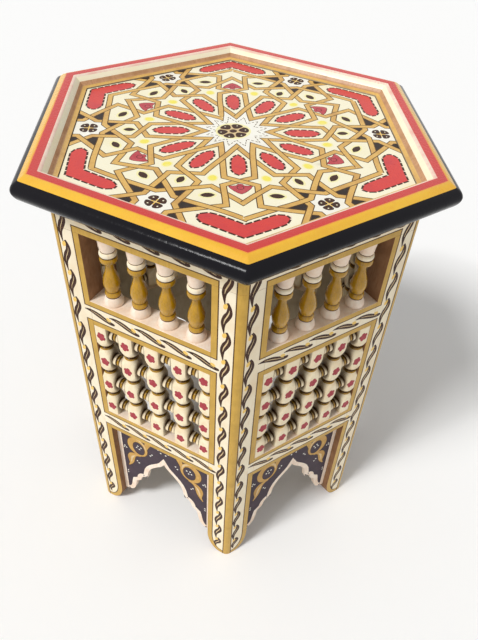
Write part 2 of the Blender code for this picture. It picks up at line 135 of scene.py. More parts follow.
class SideTablePaints(bpy.types.PropertyGroup):
    """Colours of the table's paints"""

    cream: tint("Cream", "Ground of the frame", "#FBEFD4")
    field: tint("Field cream", "Ground of the tray's pattern, and cove of the rim", "#FEF8DC")
    white: tint("White", "Ground of the stars, and dots on the aprons", "#FFFDF2")
    ivory: tint("Ivory", "Lattice blocks and collars", "#FBEDCC")
    pink: tint("Pink", "Sills, baluster ends, apron edges and edges of the red fills", "#FDEEDC")
    blush: tint("Blush", "Roll between the red crest and the cream cove", "#FBE8D4")
    strap: tint("Strap gold", "Interlaced straps, and lowest band of the rim", "#E8BC68")
    gold: tint("Border gold", "Borders and corner strips of the frame", "#D0A546")
    olive: tint("Olive gold", "Turned gold of the balusters, bobbins and lattice rings", "#C6940C")
    swirl: tint("Swirl gold", "Scrolls on the aprons", "#D4A75A")
    # Line brown also lays the wide dark bands at the lattice's waists, which are partly painted shade
    line: tint("Line brown", "Outlines, and grooves of the turned work", "#4C3116")
    brown: tint("Scroll brown", "Scroll strokes, petals, dashes and eyes", "#3B2318")
    tan: tint("Tan", "Step of the rim", "#CDA078")
    # The reveal tan is darkened to brown as painted shade of the openings
    reveal: tint("Reveal", "Inner edges of the posts", "#967052")
    light: tint("Scroll light", "Lights on scrolls and aprons, and ground of the middle flower", "#E3C99A")
    yellow: tint("Dab yellow", "Dabs on scrolls, and crosses of the stars", "#F4C65A")
    glow: tint("Pale yellow", "Thinned yellow round eyes and hearts", "#FCF3B0")
    lemon: tint("Lemon", "Hearts of the small stars", "#FBEB58")
    red: tint("Fill red", "Fills of the tray's pattern", "#DE4740")
    rim_red: tint("Rim red", "Band on the crest of the rim", "#D5342D")
    rim_yellow: tint("Rim yellow", "Slope of the rim", "#F3BF38")
    orange: tint("Orange", "Seam where the rim's yellow and red run together", "#EE9A34")
    crimson: tint("Crimson", "Small flowers of the lattice", "#A5323C")
    rose: tint("Rose", "Buds of the tray", "#BB3B46")
    black: tint("Black", "Round edge of the rim", "#131217")
    charcoal: tint("Charcoal", "Small triangles of the tray", "#2B231F")
    plum: tint("Plum", "Ground of the aprons", "#473D45")
    wood: tint("Bare wood", "Inside of the table, and underside of the tray", "#B8AA92")
    floor: tint("Floor", "Studio floor", "#FEFEFD")


class SideTableSizes(bpy.types.PropertyGroup):
    """Sizes of the table's painted work"""

    strap: length("Strap", "Width of a strap with its outlines", 6.3)
    outline: length("Outline", "Width of a painted outline", 0.9)
    border: length("Border", "Width of the gold border round an opening", 6.0)
    corner: length("Corner strip", "Width of the gold strip on each side of a corner", 5.0)
    scroll: length("Scroll pitch", "Height of one scroll on a post", 33.3)
    flower: length("Flower", "Width of a flower on a lattice block", 10.4)
    arch_border: length("Arch border", "Width of the pale border along an arch", 5.8)


def sizes(name):
    """A size that the user may change, in millimetres."""
    return getattr(bpy.context.scene.side_table_sizes, name) / MM


# Materials

Paint = namedtuple("Paint", "name shade cloud streak roughness varnish wear glaze", defaults=(None,))

# All are brushed by hand on planed or turned wood. cloud is the width in mm of the uneven patches, streak
# that of the brush marks, drawn about three times as coarse as real ones so that they show. varnish is the
# gloss on top, and wear the share of rubbed specks that show the shade below. glaze is painted
# shade: the dark colour that the hollows of turned work are darkened to, where shade falls.
PAINTS = {
    # Cream distemper: thin and warm, with the wood's pink showing through in clouds
    "cream": Paint("cream_distemper_brushed", "#EBCFA6", 38, 2.4, 0.45, 0.1, 0.25),
    # Cream distemper under varnish on the tray, yellower and smoother
    "field": Paint("field_cream_distemper_varnished", "#F9EDC2", 45, 2.0, 0.30, 0.15, 0.1),
    # Chalk white laid on thicker, nearly even
    "white": Paint("chalk_white_brushed", "#F2EBD6", 30, 2.0, 0.40, 0.15, 0.1),
    # Ivory distemper on turned blocks, with pink and yellow patches, and painted shade in the hollows
    "ivory": Paint("ivory_distemper_brushed", "#EBC897", 16, 2.2, 0.42, 0.15, 0.3, "#4E3318"),
    # Pink distemper, chalky and uneven
    "pink": Paint("pink_distemper_brushed", "#EEC8A8", 14, 2.4, 0.50, 0.1, 0.3),
    # Cream dragged over wet red on the inner roll of the rim: rosy streaks
    "blush": Paint("blush_distemper_dragged", "#E89A86", 26, 3.0, 0.35, 0.15, 0.3),
    # Ochre gold distemper of the straps, with darker brush overlaps
    "strap": Paint("strap_ochre_brushed", "#BE8B4C", 16, 1.8, 0.32, 0.15, 0.2),
    # Ochre gold of the borders, streaky
    "gold": Paint("border_ochre_brushed", "#AE872E", 20, 1.8, 0.38, 0.2, 0.3),
    # Bronze powder paint on turned wood: dark olive painted shade in the hollows, a wet shine on the rings
    "olive": Paint("bronze_powder_paint_turned", "#7C5C04", 9, 1.6, 0.25, 0.38, 0.3, "#3A2806"),
    # Gold scrolls on the aprons, with lighter strokes
    "swirl": Paint("scroll_ochre_brushed", "#AA7634", 12, 1.4, 0.42, 0.1, 0.2),
    # Umber drawn with a thin brush, broken where it ran dry; laid wide round the lattice's waists, partly
    # as painted shade
    "line": Paint("umber_line_brushed", "#7E5E32", 6, 1.0, 0.45, 0.1, 0.3),
    # Dark umber scroll strokes with a violet cast
    "brown": Paint("dark_umber_brushed", "#54352A", 10, 1.2, 0.42, 0.1, 0.2),
    # Tan wash on the step of the rim, streaked with umber
    "tan": Paint("tan_ochre_washed", "#9C6E44", 14, 1.8, 0.45, 0.1, 0.3),
    # Tan wash on the inner edges of the posts, dull and uneven, darkened to brown as painted shade
    "reveal": Paint("tan_wash_with_painted_shade", "#6A482E", 20, 2.4, 0.55, 0.05, 0.3),
    # Pale ochre lights drawn over the umber
    "light": Paint("pale_ochre_brushed", "#CBA673", 10, 1.2, 0.45, 0.1, 0.2),
    # Chrome yellow dabs, thick and bright
    "yellow": Paint("chrome_yellow_dabbed", "#F8DE9A", 6, 1.4, 0.40, 0.15, 0.1),
    # Yellow thinned to a stain that lets the cream show
    "glow": Paint("pale_yellow_stained", "#FDF6CC", 5, 1.4, 0.40, 0.15, 0.1),
    # Lemon yellow laid on in one dab
    "lemon": Paint("lemon_yellow_dabbed", "#FCF2A4", 5, 1.4, 0.40, 0.15, 0.1),
    # Vermilion fills, brushed lengthways so that they streak lighter and darker
    "red": Paint("vermilion_brushed", "#C03A48", 15, 1.6, 0.32, 0.15, 0.15),
    # Vermilion enamel on the rim, glossier, rubbed along the crest
    "rim_red": Paint("vermilion_enamel_brushed", "#C43A38", 40, 2.6, 0.25, 0.25, 0.2),
    # Yellow enamel on the rim's slope, with orange clouds
    "rim_yellow": Paint("yellow_enamel_brushed", "#E4A430", 45, 2.6, 0.25, 0.25, 0.2),
    # Orange where the wet yellow and red met
    "orange": Paint("orange_enamel_blended", "#E0663A", 12, 2.6, 0.25, 0.25, 0.2),
    # Rose buds, light where the brush lifted
    "rose": Paint("rose_lake_brushed", "#D46A6C", 6, 1.4, 0.40, 0.15, 0.2),
    # Crimson lake flowers, patchy
    "crimson": Paint("crimson_lake_dabbed", "#C26068", 4, 1.0, 0.45, 0.1, 0.2),
    # Black enamel: deep, wet, with faint brush ridges in the reflections
    "black": Paint("black_enamel_brushed", "#17151A", 50, 3.0, 0.16, 0.08, 0.1),
    # Charcoal distemper in the small triangles
    "charcoal": Paint("charcoal_distemper_brushed", "#4A3C34", 8, 1.4, 0.45, 0.1, 0.3),
    # Plum distemper of the aprons, matt and cloudy
    "plum": Paint("plum_distemper_brushed", "#5C4C55", 20, 2.0, 0.50, 0.05, 0.3),
    # Planed poplar left bare inside: dry, grey-beige, with long streaks
    "wood": Paint("poplar_planed_bare", "#94866C", 30, 3.0, 0.75, 0.0, 0.3),
}


# Scale of the brush marks along Z, which draws them out; width of a rubbed speck and height of a ridge, as
# shares of a brush mark's width; and how near walls stand, in mm, where painted shade darkens the hollows
STREAK_DRAWN = 0.18
SPECK_SHARE = 1.5
RIDGE_SHARE = 0.15
PAINTED_SHADE_REACH = 20.0


def add_node(tree, kind, settings=None, inputs=None):
    """Add a node, set its settings, and fill its sockets with values or with other nodes' outputs."""
    item = tree.nodes.new(kind)
    for key, value in (settings or {}).items():
        setattr(item, key, value)
    for key, value in (inputs or {}).items():
        if isinstance(value, bpy.types.NodeSocket):
            tree.links.new(value, item.inputs[key])
        else:
            item.inputs[key].default_value = value
    return item


def brushed_paint(key):
    """A hand-brushed paint: clouds of its shade, brush streaks, rubbed specks, a gloss of varnish, and for
    some paints painted shade in the hollows.
    """
    paint = PAINTS[key]
    material = bpy.data.materials.new(paint.name)
    material.use_nodes = True
    tree = material.node_tree
    tree.nodes.clear()
    base = (*getattr(bpy.context.scene.side_table_paints, key), 1.0)
    shade = (*linear(paint.shade), 1.0)
    place = add_node(tree, "ShaderNodeTexCoord").outputs["Object"]
    drawn = add_node(tree, "ShaderNodeMapping", inputs={
        "Vector": place, "Scale": (1.0, 1.0, STREAK_DRAWN)}).outputs["Vector"]
    # Clouds, brush marks and specks: where they lie, their width, detail and roughness, the least and the
    # greatest noise that shows, and the most shade that this lets in
    layers = (
        (place, paint.cloud, 4.0, 0.6, 0.42, 0.78, 0.75),
        (drawn, paint.streak, 2.0, 0.5, 0.45, 0.80, 0.55),
        (place, SPECK_SHARE * paint.streak, 3.0, 0.7, 0.72, 0.76, paint.wear),
    )
    noises = []
    amount = 0.0
    for vector, width, detail, roughness, least, greatest, most in layers:
        noise = add_node(tree, "ShaderNodeTexNoise", inputs={
            "Vector": vector, "Scale": 1 / (width * MM), "Detail": detail, "Roughness": roughness})
        noises.append(noise.outputs["Fac"])
        part = add_node(tree, "ShaderNodeMapRange", inputs={
            "Value": noises[-1], "From Min": least, "From Max": greatest, "To Max": most})
        amount = add_node(tree, "ShaderNodeMath", {"operation": "MAXIMUM"}, {
            0: amount, 1: part.outputs["Result"]}).outputs["Value"]
    streaks = noises[1]
    colour = add_node(tree, "ShaderNodeMix", {"data_type": "RGBA"}, {
        "Factor": amount, "A": base, "B": shade}).outputs["Result"]
    # Painted shade: where the piece's own walls stand near, the colour is darkened towards a dark tint
    if paint.glaze:
        glaze = (*linear(paint.glaze), 1.0)
        open_sky = add_node(tree, "ShaderNodeAmbientOcclusion", {"only_local": True}, {
            "Distance": PAINTED_SHADE_REACH * MM})
        hollow = add_node(tree, "ShaderNodeMapRange", inputs={
            "Value": open_sky.outputs["AO"], "From Min": 0.50, "From Max": 0.94,
            "To Min": 1.0, "To Max": 0.0})
        colour = add_node(tree, "ShaderNodeMix", {"data_type": "RGBA"}, {
            "Factor": hollow.outputs["Result"], "A": colour, "B": glaze}).outputs["Result"]
    sheen = add_node(tree, "ShaderNodeMapRange", inputs={
        "Value": streaks, "From Min": 0.3, "From Max": 0.7,
        "To Min": paint.roughness - 0.06, "To Max": paint.roughness + 0.08})
    ridges = add_node(tree, "ShaderNodeBump", inputs={
        "Height": streaks, "Strength": 0.35, "Distance": RIDGE_SHARE * paint.streak * MM})
    shader = add_node(tree, "ShaderNodeBsdfPrincipled", inputs={
        "Base Color": colour, "Roughness": sheen.outputs["Result"], "Normal": ridges.outputs["Normal"],
        "Specular IOR Level": paint.varnish, "Coat Weight": paint.varnish, "Coat Roughness": 0.18})
    add_node(tree, "ShaderNodeOutputMaterial", inputs={"Surface": shader.outputs["BSDF"]})
    return material


def painted(key):
    """The material of a paint, made when it is first needed."""
    return bpy.data.materials.get(PAINTS[key].name) or brushed_paint(key)


# Flat outlines, in millimetres

def bent(a, b, c, d, t):
    """The value at a share of the way from b to c on a smooth curve through four values."""
    square = 2 * a - 5 * b + 4 * c - d
    cube = 3 * b - a - 3 * c + d
    return 0.5 * (2 * b + (c - a) * t + square * t * t + cube * t ** 3)


def smooth(points, steps):
    """Points on a smooth curve through points of any dimension."""
    ends = [points[0], *points, points[-1]]
    curve = []
    for span in zip(ends, ends[1:], ends[2:], ends[3:]):
        for t in (i / steps for i in range(steps)):
            curve.append(tuple(bent(*values, t) for values in zip(*span)))
    return curve + [tuple(points[-1])]


# Least divisor of a mitre, which keeps the tips of sharp corners short
LEAST_MITRE = 0.3


def beside(path, distances, closed=False):
    """A path moved to its left by one distance or by one for each point, with mitred corners."""
    points = [Vector(p[:2]) for p in path]
    count = len(points)
    if not isinstance(distances, (list, tuple)):
        distances = [distances] * count
    moved = []
    for i, point in enumerate(points):
        before = points[i - 1] if closed or i else None
        after = points[(i + 1) % count] if closed or i + 1 < count else None
        ways = [(b - a).normalized() for a, b in ((before, point), (point, after)) if a and b]
        sides = [Vector((-way.y, way.x)) for way in ways]
        spread = max(1 + sides[0].dot(sides[-1]), LEAST_MITRE)
        moved.append(tuple(point + (sides[0] + sides[-1]) * (distances[i] / spread)))
    return moved


def stroke(points, steps=5):
    """A brush stroke through (x, y, width) points."""
    path = smooth(points, steps)
    halves = [p[2] / 2 for p in path]
    return beside(path, halves) + beside(path, [-h for h in halves])[::-1]


def band(path, width):
    """A strip of one width along a path."""
    return beside(path, width / 2) + beside(path, -width / 2)[::-1]


def blob(x, y, across, along=None, turn=0.0, count=14):
    """An ellipse of two half-widths, turned by degrees."""
    along = along or across
    centre = Vector((x, y))
    spin = Matrix.Rotation(math.radians(turn), 2)
    ring = [math.tau * i / count for i in range(count)]
    return [tuple(centre + spin @ Vector((across * math.cos(a), along * math.sin(a)))) for a in ring]


def rectangle(left, low, right, high):
    """A rectangle's corners."""
    return [(left, low), (right, low), (right, high), (left, high)]


def divided(path, step):
    """A path with points added so that no stretch is longer than step."""
    points = []
    for a, b in zip(path, path[1:]):
        a, b = Vector(a), Vector(b)
        count = max(1, math.ceil((b - a).length / step))
        points += [tuple(a.lerp(b, i / count)) for i in range(count)]
    return points + [tuple(path[-1])]


def dashes(outline, dash, gap, width):
    """An even number of straight strokes along a closed outline, the first at its start."""
    path = [*outline, outline[0]]
    whole = sum((Vector(b) - Vector(a)).length for a, b in zip(path, path[1:]))
    count = 2 * round(whole / (dash + gap) / 2)
    pitch = whole / count
    pieces = [stretch(path, k * pitch, k * pitch + dash) for k in range(count)]
    return [band([piece[0], piece[-1]], width) for piece in pieces]


# Answers wanted of the triangulation: triangles inside the shapes, with points this close joined in one
INSIDE_ONLY = 1
JOINED = 1e-5
# How near the middle a point is that a fold runs through
ON_FOLD = 1e-3


class Painting:
    """Flat shapes of paint inside an outline, each over the ones before it."""

    def __init__(self, outline, ground):
        self.shapes = [(ground, outline)]
        self.folds = []

    def add(self, paint, *outlines):
        """Lay shapes of one paint on top."""
        self.shapes += [(paint, outline) for outline in outlines]

    def fold(self, start, end):
        """Keep an edge along a line, so that the sheet can bend there."""
        self.folds.append((start, end))

    def sheet(self):
        """Cut the painting into triangles that each take the topmost paint."""
        points = [Vector(p) for line in self.folds for p in line]
        edges = [(i, i + 1) for i in range(0, len(points), 2)]
        faces = []
        for _, outline in self.shapes:
            area = sum(a[0] * b[1] - a[1] * b[0] for a, b in zip(outline, [*outline[1:], outline[0]]))
            ordered = outline if area > 0 else outline[::-1]
            faces.append(list(range(len(points), len(points) + len(ordered))))
            points += [Vector(p[:2]) for p in ordered]
        points, _, triangles, _, _, owners = delaunay_2d_cdt(
            points, edges, faces, INSIDE_ONLY, JOINED)
        kept = [(t, self.shapes[max(owner)][0]) for t, owner in zip(triangles, owners) if 0 in owner]
        return [tuple(p) for p in points], [t for t, _ in kept], [paint for _, paint in kept]


def boundary(triangles):
    """The outer loop of a sheet of triangles, in order."""
    following = {}
    sides = {(t[i], t[(i + 1) % 3]) for t in triangles for i in range(3)}
    for a, b in sides:
        if (b, a) not in sides:
            following[a] = b
    loop = [next(iter(following))]
    while following[loop[-1]] != loop[0]:
        loop.append(following[loop[-1]])
    return loop


class Shape:
    """A mesh in the making: points in millimetres, and faces that each have a paint."""

    def __init__(self):
        self.work = bmesh.new()
        self.paints = {}

    def point(self, place):
        """Add one point."""
        return self.work.verts.new(Vector(place) * MM)

    def face(self, corners, paint):
        """Add one face; corners that are the same point count once."""
        corners = list(dict.fromkeys(corners))
        if len(corners) > 2:
            made = self.work.faces.new(corners)
            made.material_index = self.paints.setdefault(paint, len(self.paints))

    def bridge(self, lower, upper, paint):
        """Join two closed rings of points; a ring may be a single point."""
        count = max(len(lower), len(upper))
        for i in range(count):
            j = (i + 1) % count
            self.face([lower[i % len(lower)], lower[j % len(lower)],
                       upper[j % len(upper)], upper[i % len(upper)]], paint)

    def turn(self, profile, facets, place=Matrix.Identity(4)):
        """Turn (radius, height, paint of the band that follows) points about Z."""
        rings = []
        for radius, height, _ in profile:
            angles = [math.tau * i / facets for i in range(facets if radius else 1)]
            rings.append([self.point(place @ Vector((radius * math.cos(a), radius * math.sin(a), height)))
                          for a in angles])
        for lower, upper, (_, _, paint) in zip(rings, rings[1:], profile):
            self.bridge(lower, upper, paint)

    def slab(self, painting, place, rings, top_paint, side_paint, folded=False):
        """A board with a painted front and a bare back; place maps (across, up, depth) to its frame.

        rings are the (growth, depth) steps of its edge, which has one paint where it faces up and one
        elsewhere. A folded board has its back bent at the middle.
        """
        points, triangles, paints = painting.sheet()
        front = {i: self.point(place(*points[i], 0.0)) for t in triangles for i in t}
        for triangle, paint in zip(triangles, paints):
            self.face([front[i] for i in triangle], paint)
        loop = boundary(triangles)
        outline = [points[i] for i in loop]
        ring = [front[i] for i in loop]
        for growth, depth in rings:
            grown = [self.point(place(x, y, depth)) for x, y in beside(outline, -growth, closed=True)]
            for i in range(len(loop)):
                j = (i + 1) % len(loop)
                paint = top_paint if outline[j][0] < outline[i][0] else side_paint
                self.face([ring[i], ring[j], grown[j], grown[i]], paint)
            ring = grown
        halves = [ring]
        if folded:
            first, last = [i for i, (x, _) in enumerate(outline) if abs(x) < ON_FOLD]
            halves = [ring[first:last + 1], ring[last:] + ring[:first + 1]]
        for half in halves:
            self.face(half, "wood")

    def prism(self, outline, place, rise, paint):
        """A thin raised dab of paint with the given outline."""
        rings = [[self.point(place(x, y, depth)) for x, y in outline] for depth in (rise, -rise)]
        self.bridge(*rings, paint)
        for ring in rings:
            self.face(ring, paint)

    def mesh(self, name, angle=30):
        """Finish the mesh, smooth but for edges sharper than an angle in degrees."""
        bmesh.ops.recalc_face_normals(self.work, faces=self.work.faces)
        mesh = bpy.data.meshes.new(name)
        self.work.to_mesh(mesh)
        self.work.free()
        for paint in self.paints:
            mesh.materials.append(painted(paint))
        mesh.shade_smooth()
        mesh.set_sharp_from_angle(angle=math.radians(angle))
        return mesh


def turned_frame(angle, distance):
    """Matrix of a side's or a corner's own frame."""
    out = Matrix.Translation(Vector((math.cos(angle), math.sin(angle), 0)) * distance * MM)
    return out @ Matrix.Rotation(angle + math.pi / 2, 4, "Z")


def side_frame(number):
    """Frame of a side, 1 to 6."""
    return turned_frame(FIRST_SIDE + (number - 1) * STEP, BODY_APOTHEM)


def corner_frame(number):
    """Frame of a corner, 1 to 6."""
    return turned_frame(FIRST_CORNER + (number - 1) * STEP, CORNER_DISTANCE)


def add_piece(name, mesh, nodes, place=Matrix.Identity(4)):
    """Put a finished piece in the scene in place of the solids it stands for."""
    piece = bpy.data.objects.new(name, mesh)
    bpy.context.scene.collection.objects.link(piece)
    piece.matrix_world = place
    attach(piece, "root")
    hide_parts(*nodes)


def add_six(work, kind, mesh, place):
    """Put a piece of one kind on each side or corner, whose frame place gives by its number."""
    for number in NUMBERS:
        add_piece(f"{work}_{kind}_{number}", mesh, [f"{kind}_{number}"], place(number))


# The painting of one whole side, from which posts, rails and top frame each take their share. A stroke or a
# light is a list of (across, up, width). A dab is its place from the start of the scroll, its half-widths
# and its turn in degrees.

STILE_STROKE = [(-1.8, -35.6, 0.8), (-2.6, -29.4, 2.8), (-2.6, -23.2, 5.0), (-0.2, -16.6, 6.8),
                (2.4, -11.0, 6.0), (2.5, -5.2, 4.4), (0.6, 0.2, 2.4)]
STILE_LIGHT = [(-2.4, -24.5, 0.3), (-1.5, -19.6, 1.0), (0.4, -15.2, 1.2), (2.1, -10.6, 0.9),
               (2.6, -7.0, 0.3)]
STILE_DAB = (-1.3, -4.4, 2.0, 3.4, -15)
RAIL_STROKE = [(-1.0, 1.8, 0.8), (6.0, 1.9, 4.0), (14.0, -0.2, 6.0), (21.0, -3.0, 5.8), (27.0, -5.0, 4.6),
               (31.0, -5.4, 3.8), (32.8, -4.8, 2.2)]
RAIL_LIGHT = [(6.0, 1.7, 0.4), (14.0, -0.2, 0.9), (21.0, -3.0, 0.7), (28.0, -5.0, 0.4)]
RAIL_DAB = (26.4, -1.4, 3.0, 2.1, -25)
# Scrolls along a rail: their number, pitch and start, and their level over the border of the top frame
RAIL_SCROLLS = 5
RAIL_PITCH = 28.4
RAIL_START = (-1.0, 1.6)
TOP_LEVEL = 8.5
# Scrolls up a stile: the stiles' middles, each with the share of the width that its lights have, the shift
# from the middle, the top of the lowest scroll and its squeeze, and the pitch that the stroke is drawn for.
# The lights of the left stiles are drawn at half width on every side: their thinness is painted shade.
STILES = ((-81.2, 0.5), (81.2, 1.0))
STILE_SHIFT = -1.4
LOWEST_SCROLL = 35.2
LOWEST_SQUEEZE = 0.7
DRAWN_PITCH = 33.3
# Outlines on the frame as a share of those on the tray, and how far paint runs on past the floor
FRAME_LINE = 1.35
PAST_FLOOR = -1.0


def moved(points, x, y, squeeze=1.0):
    """Stroke points moved to a place, with their height squeezed."""
    return [(px + x, py * squeeze + y, width) for px, py, width in points]


def foot_path():
    """Inner outline of a foot, from the corner along the floor and up the round, in a corner's frame."""
    span = POST_WIDTH - FOOT_FLAT
    angles = [math.radians(a) for a in FOOT_TURNS]
    return [(FOOT_FLAT + span * math.sin(a), FOOT_HEIGHT * (1 - math.cos(a))) for a in angles]


def side_painting():
    """Shapes of paint on one side's frame, over its cream ground, as (paint, outline)."""
    border = sizes("border")
    layers = (("line", FRAME_LINE * sizes("outline")), ("gold", 0.0))
    reach = HALF_OPENING + border
    shapes = []
    for low, high in ((RAIL_HIGH.z, SILL_LOW.z), (SILL_HIGH.z, TOP_LOW.z)):
        for paint, grow in layers:
            corners = (-reach - grow, low - border - grow, reach + grow, high + border + grow)
            shapes.append((paint, rectangle(*corners)))
    arch_top = RAIL_LOW.z + border
    foot = [(HALF_SIDE - x, z) for x, z in [(0.0, 0.0), *foot_path(), (POST_WIDTH, arch_top)]]
    for paint, grow in layers:
        inner = beside(foot, -border - grow)
        inner[-1] = (inner[-1][0], arch_top + grow)
        half = [(0.0, arch_top + grow), (0.0, PAST_FLOOR), (HALF_SIDE, PAST_FLOOR), *inner]
        shapes += [(paint, half), (paint, [(-x, z) for x, z in half])]
    strip = HALF_SIDE - sizes("corner")
    for paint, grow in layers:
        for sign in (-1, 1):
            shapes.append((paint, rectangle(sign * (strip - grow), PAST_FLOOR, sign * HALF_SIDE, CREST_Z)))
    return shapes + stile_scrolls() + rail_scrolls()


def scroll(dark, light, dab, x, z, squeeze=1.0, fine=1.0):
    """One scroll at a place: a dark stroke, its light and the yellow dab at its end."""
    thin = [(px, pz, fine * width) for px, pz, width in moved(light, x, z, squeeze)]
    across, up, *form = dab
    return [("brown", stroke(moved(dark, x, z, squeeze))), ("light", stroke(thin)),
            ("yellow", blob(x + across, z + up, *form))]


def stile_scrolls():
    """Scrolls up the two stiles of a side, all turned the same way."""
    pitch = sizes("scroll")
    shapes = []
    for middle, fine in STILES:
        for k in range(math.ceil((TOP_HIGH.z - LOWEST_SCROLL) / pitch)):
            squeeze = pitch / DRAWN_PITCH if k else LOWEST_SQUEEZE
            place = (middle + STILE_SHIFT, LOWEST_SCROLL + k * pitch)
            shapes += scroll(STILE_STROKE, STILE_LIGHT, STILE_DAB, *place, squeeze, fine)
    return shapes


def rail_scrolls():
    """Scrolls along the three rails of a side."""
    levels = [(low.z + high.z) / 2 for low, high in ((RAIL_LOW, RAIL_HIGH), (SILL_LOW, SILL_HIGH))]
    levels.append(TOP_LOW.z + sizes("border") + TOP_LEVEL)
    shapes = []
    for level in levels:
        for k in range(RAIL_SCROLLS):
            x = (k - RAIL_SCROLLS / 2) * RAIL_PITCH + RAIL_START[0]
            shapes += scroll(RAIL_STROKE, RAIL_LIGHT, RAIL_DAB, x, level + RAIL_START[1])
    return shapes


def extent(outline):
    """Lowest and highest corner of a flat outline."""
    across, up = zip(*outline)
    return (min(across), min(up)), (max(across), max(up))


def shared_painting(outline):
    """The part of a side's painting that falls on one piece, over its cream ground."""
    painting = Painting(outline, "cream")
    low, high = extent(outline)
    for paint, shape in side_painting():
        bottom, top = extent(shape)
        if all(top[i] > low[i] and bottom[i] < high[i] for i in (0, 1)):
            painting.add(paint, shape)
    return painting


def corner_place(width):
    """Place function of a piece that bends round a corner, with two faces of one width.

    Across runs round the rounded arris from the left face to the right, and depth goes into the wood.
    """
    def place(across, up, depth):
        sign = 1 if across >= 0 else -1
        if depth > ARRIS_RADIUS:
            inset = depth * math.tan(HALF_STEP)
            across = sign * (inset + abs(across) * (width - inset) / width)
        elif abs(across) < ARRIS_REACH:
            swing = -math.pi / 2 + HALF_STEP * across / ARRIS_REACH
            radius = ARRIS_RADIUS - depth
            middle = ARRIS_RADIUS / math.cos(HALF_STEP)
            return radius * math.cos(swing), middle + radius * math.sin(swing), up
        x = across * math.cos(HALF_STEP) - sign * depth * math.sin(HALF_STEP)
        return x, abs(across) * math.sin(HALF_STEP) + depth * math.cos(HALF_STEP), up

    return place


def corner_painting(outline, low, high):
    """The painting round a corner: the ends of two sides, with folds round the arris."""
    painting = Painting(outline, "cream")
    width = max(x for x, _ in outline)
    for sign in (1, -1):
        for paint, shape in side_painting():
            reach = [sign * x + HALF_SIDE for x, _ in shape]
            if min(reach) < width and max(reach) > 0 and min(z for _, z in shape) < high:
                painting.add(paint, [(sign * max(far, 0.0), z) for far, (_, z) in zip(reach, shape)])
    for i in range(-ARRIS_FOLDS, ARRIS_FOLDS + 1):
        across = ARRIS_REACH * i / ARRIS_FOLDS
        painting.fold((across, low), (across, high))
    return painting


def side_place(depth_offset=0.0):
    """Place function of a flat board in a side's frame, its front at a depth."""
    return lambda across, up, depth: (across, depth_offset + depth, up)


# Pieces

class SIDETABLE_OT_rim(bpy.types.Operator):
    """Make the moulded rim of the tray, banded in black, yellow, red, cream and gold"""

    bl_idname = "side_table.rim"
    bl_label = "Tray rim"

    # Points of the section, out from the rim's widest line and up from its crest
    CREST_EDGE = -13.6
    SLOPE = [(CREST_EDGE, 0.0, "rim_yellow"), (-10.2, -1.7, "rim_yellow")]
    NOSE = [(-7.0, -4.0), (-2.6, -6.6), (0.0, -11.0), (-0.6, -15.5), (-4.0, -20.5), (-10.0, -25.0)]
    NOSE_STEPS = 4
    INNER_FOOT = -10.0
    INNER = [(-31.2, -9.0, "tan"), (-29.8, -7.8, "tan"), (-28.4, -5.2, "field"), (-26.4, -3.4, "field"),
             (-24.8, -1.5, "blush"), (-23.6, -0.4, "blush"), (-22.0, 0.0, "rim_red"),
             (-14.5, 0.0, "orange")]
    # Radius of a corner for each mm out from the crest, the least that is drawn, its steps, and the place
    # on the underside inside which the corners are square
    CORNER_GROWTH = 0.42
    LEAST_RADIUS = 0.05
    CORNER_STEPS = 6
    UNDERSIDE = (-8.0, -20.0)

    def execute(self, context):
        shape = Shape()
        rings = [(self.ring(shape, apothem, z), paint) for apothem, z, paint in self.profile()]
        for (lower, paint), (upper, _) in zip(rings, rings[1:] + rings[:1]):
            shape.bridge(lower, upper, paint)
        add_piece("painted_tray_rim", shape.mesh("painted_tray_rim"), ["tray_rim"])
        return {"FINISHED"}

    def profile(self):
        """Section of the rim from the crest outward, as (apothem, height, paint of the next band)."""
        seat = BOARD_HIGH.x + GAP
        under = BOARD_HIGH.z - BOARD_REBATE + GAP
        *nose, last = smooth(self.NOSE, self.NOSE_STEPS)
        outer = [*self.SLOPE, *((x, z, "black") for x, z in nose), (*last, "wood")]
        seated = [(seat, RIM_LOW.z, "wood"), (seat, under, "wood"), (FIELD_APOTHEM, under, "wood"),
                  (FIELD_APOTHEM, CREST_Z + self.INNER_FOOT, "strap")]
        outer, inner = ([(RIM_APOTHEM + x, CREST_Z + z, paint) for x, z, paint in part]
                        for part in (outer, self.INNER))
        return outer + seated + inner

    def ring(self, shape, apothem, z):
        """One line of the moulding round the six sides, with rounded corners from the crest outward."""
        radius = max(0.0, self.CORNER_GROWTH * (apothem - RIM_APOTHEM - self.CREST_EDGE))
        if z < CREST_Z + self.UNDERSIDE[1] and apothem < RIM_APOTHEM + self.UNDERSIDE[0]:
            radius = 0.0
        steps = self.CORNER_STEPS
        ring = []
        for k in range(SIDES):
            angle = FIRST_CORNER + k * STEP
            middle = (apothem - radius) / math.cos(HALF_STEP)
            centre = Vector((math.cos(angle), math.sin(angle), 0)) * middle + Vector((0, 0, z))
            if radius < self.LEAST_RADIUS:
                ring += [shape.point(centre)] * (steps + 1)
                continue
            for i in range(steps + 1):
                swing = angle + HALF_STEP * (2 * i / steps - 1)
                ring.append(shape.point(centre + radius * Vector((math.cos(swing), math.sin(swing), 0))))
        return ring


# The tray's pattern: a twelve-fold star in the middle of six eight-fold stars. Points are in the frame of
# the middle of an edge, where X runs from the centre to that edge and Y along it.

